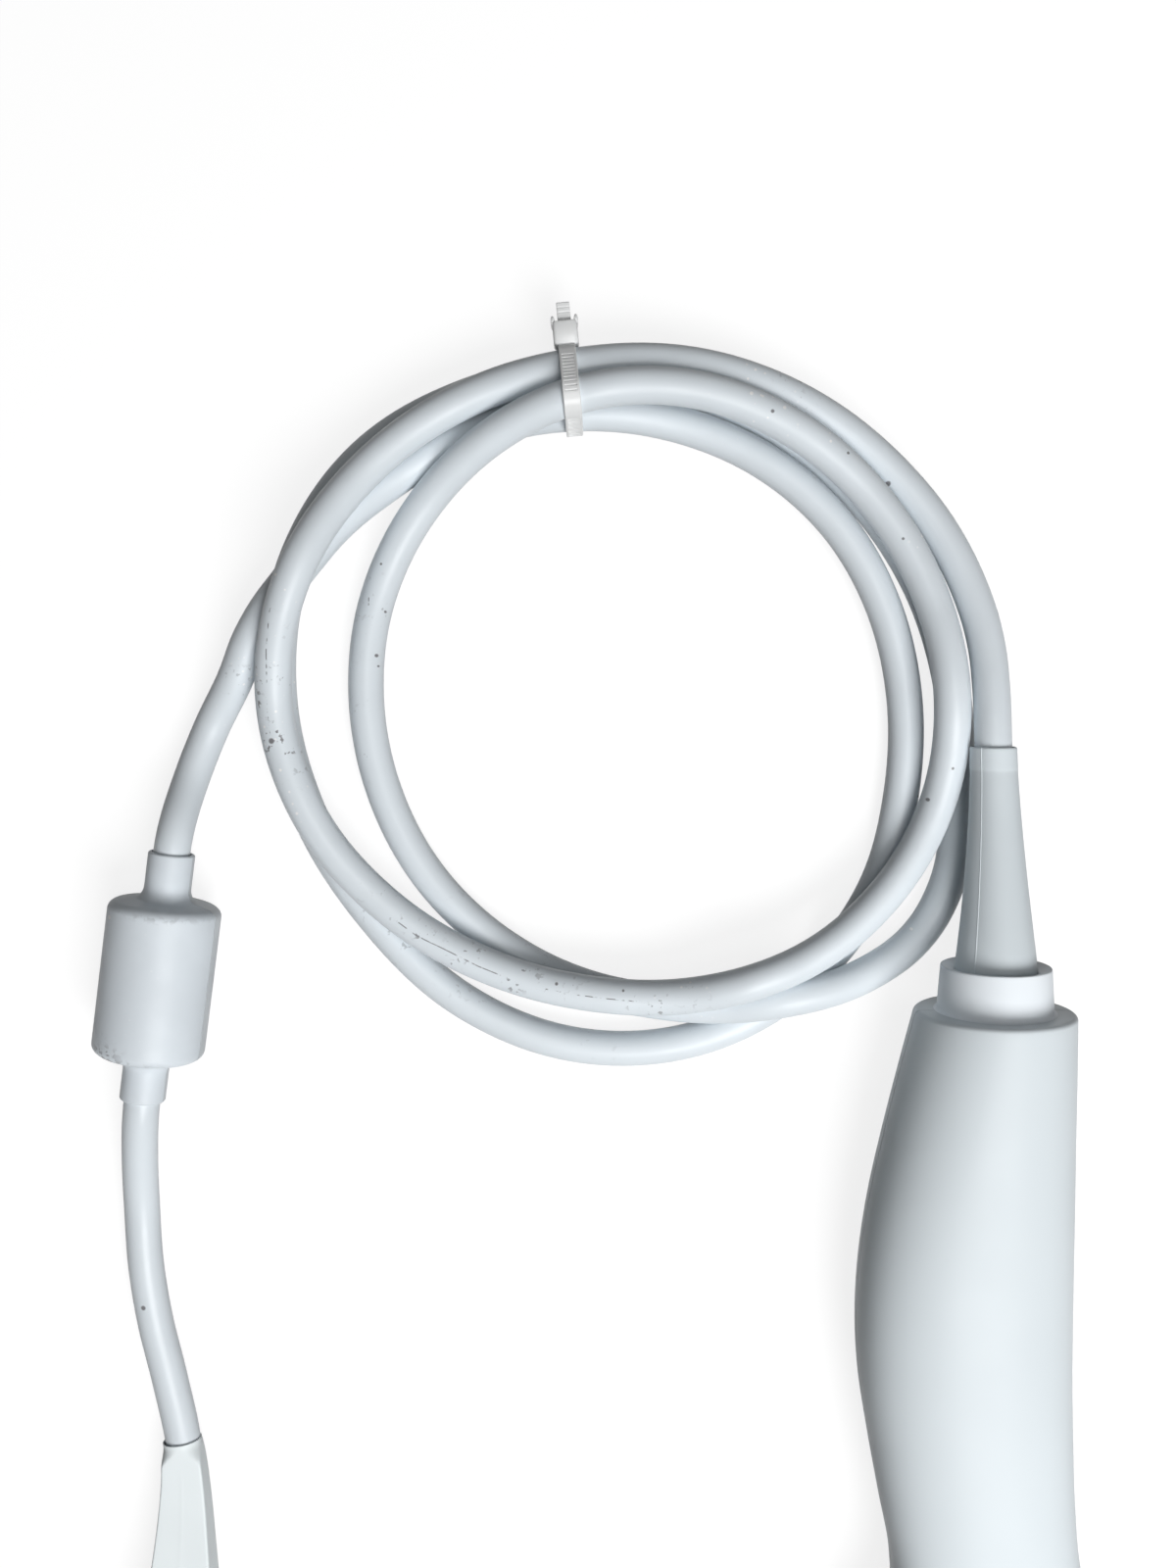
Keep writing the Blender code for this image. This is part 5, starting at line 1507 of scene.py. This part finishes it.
    def build(self) -> Thing:
        """Makes the tie as one mesh of closed shapes that run into each other.

        Returns:
            The new piece.
        """
        middle, out = self.loop()
        edge = float(middle[:, 0].max() + self.thickness / 2)
        level = float(self.strands()[0, 1]) - self.head_drop
        soft = self.head_edge
        start, end = edge - self.thickness / 2, edge + self.head_depth
        steps = np.array([start, start + soft / 2, start + soft, end - soft, end - soft / 3, end])
        pull = np.array([soft, soft / 4, 0.0, 0.0, soft / 3, soft])
        half = self.head_width / 2
        head = self.bar(steps, half - pull, level - self.head_height / 2 + pull,
                        level + self.head_height / 2 - pull)
        tail_end = end + self.tail_length
        run = np.linspace(end - self.thickness, tail_end, 110)
        wave = ease(np.cos(2 * pi * run / self.tail_pitch), *self.groove_sides) * self.tail_groove
        close = np.where(run > tail_end - self.tail_edge, self.tail_edge, 0.0)
        thick = self.tail_thickness / 2
        tail_level = level + self.tail_lift
        tail = self.bar(run, np.full_like(run, self.tail_width / 2) - close,
                        np.full_like(run, tail_level - thick) + close, tail_level + thick - wave - close)
        grids = [head, tail]
        sweep = np.linspace(-self.ear_sweep * pi, self.ear_sweep * pi, 15)
        bow = self.ear_reach * np.sin(sweep)
        tall = self.head_height * (self.ear_height[0] + self.ear_height[1] * np.cos(sweep))
        sideways = self.stand()[2]
        for side in (-1.0, 1.0):
            ear = self.bar(end + self.ear_clear + bow, self.ear_half_width * np.cos(sweep),
                           level - tall, level + tall)
            ear[..., :2] += side * (half - self.ear_sink) * sideways
            grids.append(ear)
        points, faces = joined_points(grids)
        strap, depth = self.strap()
        rows, columns = strap.shape[:2]
        band = quads(rows + 1, columns, True) % (rows * columns)
        flat = strap.reshape(-1, 3)
        faces = faces + [turned_out(flat, [band])[0] + len(points)]
        everything = np.concatenate([points, flat])
        tie = mesh_object("tie", everything, faces, 35.0)
        # Painted shade on the tie: darker in the strap's grooves, and in a band where the strap bends into
        # the head.
        groove_shade = np.append(np.zeros(len(points)), depth.ravel())
        bend = self.shade_share * self.shaded(everything, edge)
        set_attribute(tie, "shade", np.clip(bend + groove_shade, 0.0, 1.0))
        return settle(tie, NYLON, "nylon", "cable_tie")

    def shaded(self, points: Array, edge: float) -> Array:
        """The painted shade where the strap bends into the head: a bell across that place.

        Args:
            points: the tie's points.
            edge: how far out the strap reaches.

        Returns:
            A strength from 0 to 1 for each point.
        """
        middle, normal, _ = self.stand()
        inwards = edge - (points[:, :2] - middle) @ normal
        return np.exp(-(((inwards + self.shade_out) / self.shade_reach) ** 2))


# The connector


@dataclass
class Connector:
    """The connector: boot, two housing halves, contact strips and the screws underneath. Its other
    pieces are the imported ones."""

    route: CableRoute
    length: float = 0.0800
    width: float = 0.0580
    height: float = 0.0240
    wall: float = 0.0020
    edge: float = 0.0008
    shoulder_length: float = 0.0140
    shoulder_pull: float = 0.0160
    shoulder_drop: float = 0.0040
    housing_rows: tuple[float, float, float] = (0.0030, 0.0180, 0.0040)
    squareness: float = 5.0
    opening_squareness: float = 6.0
    mouth_radius: float = 0.00426
    mouth_bore: float = 0.00404
    mouth_edge: float = 0.00012
    corner: float = 0.0005
    corner_reach: float = 0.0048
    low_corner: float = 0.0031
    low_corner_reach: float = 0.0200
    ridge: float = 0.00002
    boot_spread_x: float = 0.0053
    boot_spread_z: float = 0.0026
    boot_power_x: float = 1.3
    boot_power_z: float = 2.2
    mouth_tilt: float = 6.3
    mouth_lean: float = 5.5
    mouth_corner: float = 0.97
    tilt_reach: float = 0.012
    bore_reach: float = 0.004
    ridge_fade: tuple[float, float] = (0.004, 0.010)
    boot_rows: tuple[float, float, float] = (0.0005, 0.010, 0.011)
    boot_sharp: float = 60.0
    parting: float = 0.00012
    shroud_half_width: float = 0.0225
    shroud_half_height: float = 0.0070
    shroud_length: float = 0.0120
    screw_x: float = 0.0185
    screw_rows: tuple[float, float] = (-0.13130, -0.15530)
    screw_seat: float = 0.0032
    screw_shank: float = 0.0010
    screw_head: float = 0.0020
    screw_head_height: float = 0.0013
    screw_length: float = 0.0145
    cross_half_width: float = 0.00025
    cross_reach: float = 0.00115
    cross_depth: float = 0.0007
    contact_pitch: float = 0.0016
    contact_count: int = 22
    tongue_half_height: float = 0.0022
    contact_depth: float = 0.0005
    contact_width: float = 0.42
    contact_shift: float = 0.75
    contact_setback: float = 0.0024
    contact_inside: float = 0.0010
    contact_clear: float = 0.00002
    contact_sink: float = 0.00012
    corner_steps: int = 11
    shares: tuple[float, ...] = (0.10, 0.25, 0.40, 0.48, 0.50, 0.52, 0.60, 0.75, 0.90)

    def near(self) -> float:
        """Where the housing starts, next to the boot."""
        return self.route.plug_mouth_y - self.route.plug_boot_length - GAP

    def boot(self) -> Thing:
        """The boot: a loft from a round mouth, tilted as the cable is, to a box whose upper edges soon
        grow crisp: their radius falls from the mouth's own to a small one. The lower edges stay round.

        Returns:
            The new piece.
        """
        length = self.route.plug_boot_length
        lip = self.mouth_edge * (1 - np.cos(quarter(5)))
        start, dense, sparse = self.boot_rows
        distance = np.unique(np.concatenate([lip, np.linspace(start, dense, 24),
                                             np.linspace(sparse, length, 50)]))
        share = distance / length
        short = np.clip(self.mouth_edge - distance, 0.0, None)
        trim = self.mouth_edge - np.sqrt(self.mouth_edge**2 - short**2)
        half_width = self.mouth_radius + self.boot_spread_x * share**self.boot_power_x - trim
        half_height = self.mouth_radius + self.boot_spread_z * share**self.boot_power_z - trim
        soft = self.mouth_corner * half_height
        corner = soft + (self.corner - soft) * ease(distance, start, self.corner_reach)
        low_corner = soft + (self.low_corner - soft) * ease(distance, start, self.low_corner_reach)
        across, up = self.box_rows(half_width, half_height, corner, low_corner)
        centre = self.route.plug_points(distance)
        facing = np.arctan2(up, across)
        bore = (BORE + (self.mouth_bore - BORE) * (1 - ease(distance, 0.0, self.bore_reach)))[:, None]
        ridge = self.ridge * ease(distance, *self.ridge_fade)[:, None]
        outer = self.about(centre, across, up + ridge * self.on_ridge())
        inner = self.about(centre, bore * np.cos(facing), bore * np.sin(facing))
        fade = (1 - ease(distance, 0.0, self.tilt_reach))[:, None]
        for grid in (outer, inner):
            aside = grid[..., 0] - centre[:, 0, None]
            above = grid[..., 2] - centre[:, 2, None]
            grid[..., 1] += fade * (np.tan(radians(self.mouth_tilt)) * aside
                                    + np.tan(radians(self.mouth_lean)) * above)
        boot = wall("connector_strain_relief", outer, inner, sharp=self.boot_sharp)
        return settle(boot, PLUG_BOOT, "boot", "connector_boot")

    def about(self, centre: Array, across: Array, up: Array) -> Array:
        """Rows of points across and above the middle line's points.

        Args:
            centre: the middle line's points.
            across: distances in x, one row for each.
            up: distances in z, one row for each.

        Returns:
            (rows, columns, 3) points.
        """
        y = np.broadcast_to(centre[:, 1, None], across.shape)
        return np.stack([centre[:, 0, None] + across, y, centre[:, 2, None] + up], axis=-1)

    def box_rows(self, half_width: Array, half_height: Array, upper: Array,
                 lower: Array) -> tuple[Array, Array]:
        """Rounded rectangles, one a row: quarter circles joined by straight sides, from the right.
        The upper and lower corners have radii of their own.

        Args:
            half_width: half of each row's width.
            half_height: half of its height.
            upper: the radius of its upper corners.
            lower: the radius of its lower corners.

        Returns:
            The points' x and z.
        """
        sweep = quarter(self.corner_steps)
        along = np.array(self.shares)
        across, up = [], []
        for number, (x, z) in enumerate(((1, 1), (-1, 1), (-1, -1), (1, -1))):
            corner = upper if z > 0 else lower
            after = lower if number in (1, 2) else upper
            at = sweep + number * pi / 2
            arc_x = (x * (half_width - corner) + 0.0)[:, None] + corner[:, None] * np.cos(at)
            arc_z = (z * (half_height - corner) + 0.0)[:, None] + corner[:, None] * np.sin(at)
            if number % 2 == 0:
                side_x = x * (half_width - corner)[:, None] * (1 - 2 * along)
                side_z = np.broadcast_to(z * half_height[:, None], side_x.shape)
            else:
                begin, end = z * (half_height - corner), -z * (half_height - after)
                side_z = begin[:, None] + (end - begin)[:, None] * along
                side_x = np.broadcast_to(x * half_width[:, None], side_z.shape)
            across += [arc_x, side_x]
            up += [arc_z, side_z]
        return np.concatenate(across, axis=1), np.concatenate(up, axis=1)

    def on_ridge(self) -> Array:
        """1 at the middle of the top side's points, which carries the moulding line.

        Returns:
            A number for each point of a row.
        """
        top = (np.abs(np.array(self.shares) - 0.5) < 0.01).astype(float)
        plain = np.zeros(self.corner_steps)
        none = np.zeros(len(self.shares))
        return np.concatenate([plain, top, plain, none, plain, none, plain, none])

    def half(self, side: Side) -> Thing:
        """One half of the housing, with rounded ends and a shoulder towards the boot.

        Args:
            side: which half.

        Returns:
            The new piece.
        """
        arc = np.linspace(0.0, pi, 97) * side.value
        corner = self.edge * (1 - np.cos(quarter(7)))
        first, after, before_end = self.housing_rows
        distance = np.unique(np.concatenate([
            corner, [self.wall - GAP / 2, self.wall + GAP / 2], np.linspace(first, self.shoulder_length, 24),
            np.linspace(after, self.length - before_end, 20),
            [self.length - self.wall - GAP / 2, self.length - self.wall + GAP / 2], self.length - corner]))
        close = np.clip(1 - distance / self.shoulder_length, 0.0, 1.0)
        short = np.clip(np.maximum(self.edge - distance, distance - (self.length - self.edge)), 0.0, None)
        ends = self.edge - np.sqrt(np.clip(self.edge**2 - short**2, 0.0, None))
        half_width = self.width / 2 - self.shoulder_pull * close**2
        half_height = self.height / 2 - self.shoulder_drop * close**2
        outer, inner = (oval((half_width - drawn)[:, None], (half_height - drawn)[:, None],
                             self.squareness, arc[None]) for drawn in (ends, self.wall))
        at_boot = distance < self.wall
        at_front = distance > self.length - self.wall
        inner[0][at_boot], inner[1][at_boot] = BORE * np.cos(arc), BORE * np.sin(arc)
        opening = oval(self.shroud_half_width + GAP, self.shroud_half_height + GAP,
                       self.opening_squareness, arc)
        inner[0][at_front], inner[1][at_front] = opening
        y = np.broadcast_to((self.near() - distance)[:, None], outer[0].shape)
        grids = []
        for across, up in (outer, inner):
            lifted = np.maximum(np.abs(up), self.parting) * side.value
            grids.append(np.stack([self.route.plug_x + across, y, self.height / 2 + lifted], axis=-1))
        name = f"connector_housing_{side.name.lower()}"
        housing = wall(name, grids[0], grids[1], closed=False)
        if side is Side.LOWER:
            for x, y in self.screw_places():
                self.cut_well(housing, x, y)
        return settle(housing, SHELL, "shell", f"connector_shell_{side.name.lower()}")

    def screw_places(self) -> list[tuple[float, float]]:
        """Where the four screws stand, as x and y."""
        return [(self.route.plug_x + side * self.screw_x, y) for y in self.screw_rows for side in (-1, 1)]

    def cut_well(self, housing: Thing, x: float, y: float) -> None:
        """Cuts one round well from below, through the housing's wall.

        Args:
            housing: the lower half.
            x: where the well stands.
            y: the same in y.
        """
        profile = np.array([[-0.002, self.screw_head + GAP], [self.screw_seat, self.screw_head + GAP]])
        angles = turn(48)
        grid = np.stack([np.stack([x + r * np.cos(angles), y + r * np.sin(angles), np.full(48, z)], axis=-1)
                         for z, r in profile])
        cutter = solid("well_cutter", grid)
        step = housing.modifiers.new("Well", "BOOLEAN")
        step.operation = "DIFFERENCE"
        step.solver = "EXACT"
        step.object = cutter
        made = bpy.data.meshes.new_from_object(housing.evaluated_get(bpy.context.evaluated_depsgraph_get()))
        housing.modifiers.clear()
        housing.data = made
        bpy.data.objects.remove(cutter, do_unlink=True)

    def screws(self) -> list[Thing]:
        """The four screws: turned shanks and heads with a cross recess.

        The head's height falls by the recess's depth where a point is near either arm of the
        cross and within its reach.

        Returns:
            The four pieces.
        """
        angles = turn(96)
        shape = [(self.screw_shank * 0.6, -self.screw_length), (self.screw_shank, 0.0006 - self.screw_length),
                 (self.screw_shank, 0.0), (self.screw_head, 0.0),
                 (self.screw_head, self.screw_head_height * 0.6),
                 (self.screw_head * 0.95, self.screw_head_height * 0.85)]
        face = [(r, self.screw_head_height) for r in np.linspace(self.screw_head * 0.86, 0.00005, 22)]
        turned = np.array(shape + face)
        px = turned[:, 0, None] * np.cos(angles)
        py = turned[:, 0, None] * np.sin(angles)
        rise = np.broadcast_to(turned[:, 1, None], px.shape).copy()
        near_arm = 1 - ease(np.minimum(np.abs(px), np.abs(py)), self.cross_half_width - 0.00005,
                            self.cross_half_width + 0.00005)
        reach = 1 - ease(np.hypot(px, py), self.cross_reach - 0.00015, self.cross_reach)
        rise[len(shape):] -= (self.cross_depth * near_arm * reach)[len(shape):]
        made = []
        for number, (x, y) in enumerate(self.screw_places(), 1):
            grid = np.stack([x + px, y + py, self.screw_seat - GAP - rise], axis=-1)
            screw = solid(f"connector_screw_cross_{number}", grid)
            made.append(settle(screw, STEEL, "steel", f"connector_screw_{number}"))
        return made

    def contacts(self) -> Thing:
        """Gold strips that lie in the blade's grooves, above and below.

        Returns:
            The new piece.
        """
        front = self.near() - self.length - self.shroud_length + self.contact_setback
        back = self.near() - self.length + self.contact_inside
        half = self.contact_pitch * self.contact_width / 2
        grids = []
        corners = np.array([(-1, -1), (1, -1), (1, 1), (-1, 1)])
        for side in (-1, 1):
            low = side * (self.tongue_half_height - self.contact_depth + self.contact_clear)
            high = side * (self.tongue_half_height - self.contact_sink)
            for i in range(self.contact_count):
                x = self.route.plug_x + self.contact_pitch * (i + self.contact_shift - self.contact_count / 2)
                ring = np.stack([x + half * corners[:, 0], np.zeros(4),
                                 self.height / 2 + np.where(corners[:, 1] > 0, high, low)], axis=-1)
                grids.append(np.stack([ring + [0.0, y, 0.0] for y in (front, back)]))
        points, faces = joined_points(grids)
        strips = mesh_object("contact_strips", points, faces, 30.0)
        return settle(strips, GOLD, "copper")

    def build(self) -> list[Thing]:
        """Makes every piece of the connector, and returns what goes with the cable.

        Returns:
            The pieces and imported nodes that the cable's end carries.
        """
        dress_nodes(CONTACT, "contact_block")
        dress_nodes(BOARD, "connector_board")
        dress_nodes(STEEL, "connector_shroud", "connector_cable_clamp")
        dress_nodes(COPPER, "connector_core_bundle")
        made = [self.boot(), self.half(Side.UPPER), self.half(Side.LOWER), *self.screws(), self.contacts()]
        kept = ("contact_block", "connector_board", "connector_shroud", "connector_cable_clamp",
                "connector_core_bundle")
        return made + [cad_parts[name] for name in kept]


def dress_inside() -> None:
    """Gives the handle's inner pieces their finishes."""
    dress_nodes(RESIN, "matching_layer")
    dress_nodes(CERAMIC, "piezo_array")
    dress_nodes(BACKING, "backing_block")
    dress_nodes(FILM, "flex_circuit_upper", "flex_circuit_lower")
    dress_nodes(BOARD, "interconnect_board_upper", "interconnect_board_lower")
    dress_nodes(CONTACT, "board_carrier")
    dress_nodes(STEEL, "cable_clamp", "clamp_screw_1", "clamp_screw_2")
    dress_nodes(COPPER, "braid_ferrule", "core_bundle")


# The set


@dataclass
class Studio:
    """Camera, floor and soft light."""

    camera_place: tuple[float, float, float] = (-0.0894, 0.1297, 0.3180)
    camera_tilt: float = -4.5
    lens: float = 32.625
    aim: tuple[float, float, float] = (-0.08, 0.05, 0.01)
    lamps: tuple[tuple[str, tuple[float, float, float], float, float], ...] = (
        ("key", (0.165, -0.300, 0.700), 0.50, 6.4),
        ("top", (0.020, 0.130, 0.700), 0.30, 0.8),
    )
    sky: float = 0.02
    floor_thrown_back: float = 0.14
    floor_seen: float = 0.24
    floor_glow: float = 0.84
    floor_reach: float = 3.0
    floor_drop: float = 0.0002

    def camera(self) -> None:
        """Sets the camera at the photograph's place and angle."""
        data = bpy.data.cameras.new("camera")
        data.lens = self.lens
        data.sensor_width = 36.0
        data.clip_start = 0.01
        seer = bpy.data.objects.new("camera", data)
        seer.location = self.camera_place
        seer.rotation_euler = (radians(self.camera_tilt), 0.0, 0.0)
        bpy.context.scene.collection.objects.link(seer)
        bpy.context.scene.camera = seer

    def light(self) -> None:
        """Adds the lamps and an even sky that shows white to the camera."""
        for name, place, size, power in self.lamps:
            data = bpy.data.lights.new(name, "AREA")
            data.shape = "DISK"
            data.size = size
            data.energy = power
            lamp = bpy.data.objects.new(name, data)
            lamp.location = place
            away = np.array(place) - np.array(self.aim)
            flat = float(np.hypot(away[0], away[1]))
            lamp.rotation_euler = (float(np.arctan2(flat, away[2])), 0.0,
                                   float(np.arctan2(away[1], away[0]) + pi / 2))
            bpy.context.scene.collection.objects.link(lamp)
        world = bpy.data.worlds.new("sky")
        world.use_nodes = True
        bpy.context.scene.world = world
        nodes, links = world.node_tree.nodes, world.node_tree.links
        sky = nodes["Background"]
        sky.inputs["Color"].default_value = (1.0, 1.0, 1.0, 1.0)
        path = nodes.new("ShaderNodeLightPath")
        level = nodes.new("ShaderNodeMapRange")
        level.inputs["To Min"].default_value = self.sky
        level.inputs["To Max"].default_value = 1.0
        links.new(self.seen(nodes, links, path), level.inputs["Value"])
        links.new(level.outputs["Result"], sky.inputs["Strength"])

    def seen(self, nodes: bpy.types.Nodes, links: bpy.types.NodeLinks,
             path: bpy.types.Node) -> Socket:
        """1 for rays that show the background: from the camera, mirrored or passed through.

        Args:
            nodes: the nodes to add to.
            links: their links.
            path: the node that tells what kind a ray is.

        Returns:
            The socket with the result.
        """
        total = path.outputs["Is Camera Ray"]
        for name in ("Is Glossy Ray", "Is Transmission Ray"):
            made = nodes.new("ShaderNodeMath")
            made.operation = "MAXIMUM"
            links.new(total, made.inputs[0])
            links.new(path.outputs[name], made.inputs[1])
            total = made.outputs[0]
        return total

    def floor(self) -> None:
        """A wide pale floor: nearly white to the camera, greyer in the light that it throws back."""
        points = np.array([(-1, -1, 0), (1, -1, 0), (1, 1, 0), (-1, 1, 0)]) * self.floor_reach
        points[:, 2] = -self.floor_drop
        plane = mesh_object("floor", points, [np.array([[0, 1, 2, 3]])])
        graph = Graph("floor white")
        seen = self.seen(graph.tree.nodes, graph.tree.links, graph.node("ShaderNodeLightPath"))
        graph.feed(graph.shader.inputs["Base Color"],
                   graph.mix(seen, (self.floor_thrown_back,) * 3, (self.floor_seen,) * 3))
        graph.shader.inputs["Roughness"].default_value = 0.9
        graph.shader.inputs["Specular IOR Level"].default_value = 0.0
        graph.feed(graph.shader.inputs["Emission Color"], (1.0, 1.0, 1.0, 1.0))
        graph.feed(graph.shader.inputs["Emission Strength"], graph.times(seen, self.floor_glow))
        plane.data.materials.append(graph.material)

    def build(self) -> None:
        """Sets the camera, lamps, sky and floor."""
        self.camera()
        self.light()
        self.floor()
        bpy.context.scene.view_settings.view_transform = "Standard"


@dataclass
class Probe:
    """The whole probe, built in order."""

    route: CableRoute = field(default_factory=CableRoute)

    def build(self) -> None:
        """Makes each sub-assembly and lays the cable through them."""
        Handle().build()
        StrainRelief(self.route).build()
        on_cable = Ferrite(self.route).build()
        on_cable.append(CableTie(self.route).build())
        on_cable += Connector(self.route).build()
        on_cable.append(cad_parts["ferrite_core"])
        Cable(self.route).build(on_cable)
        dress_inside()


def main() -> None:
    """Builds the set and the probe."""
    logging.basicConfig(level=logging.INFO, format="%(name)s: %(message)s")
    Studio().build()
    Probe().build()


if __name__ == "__main__":
    main()
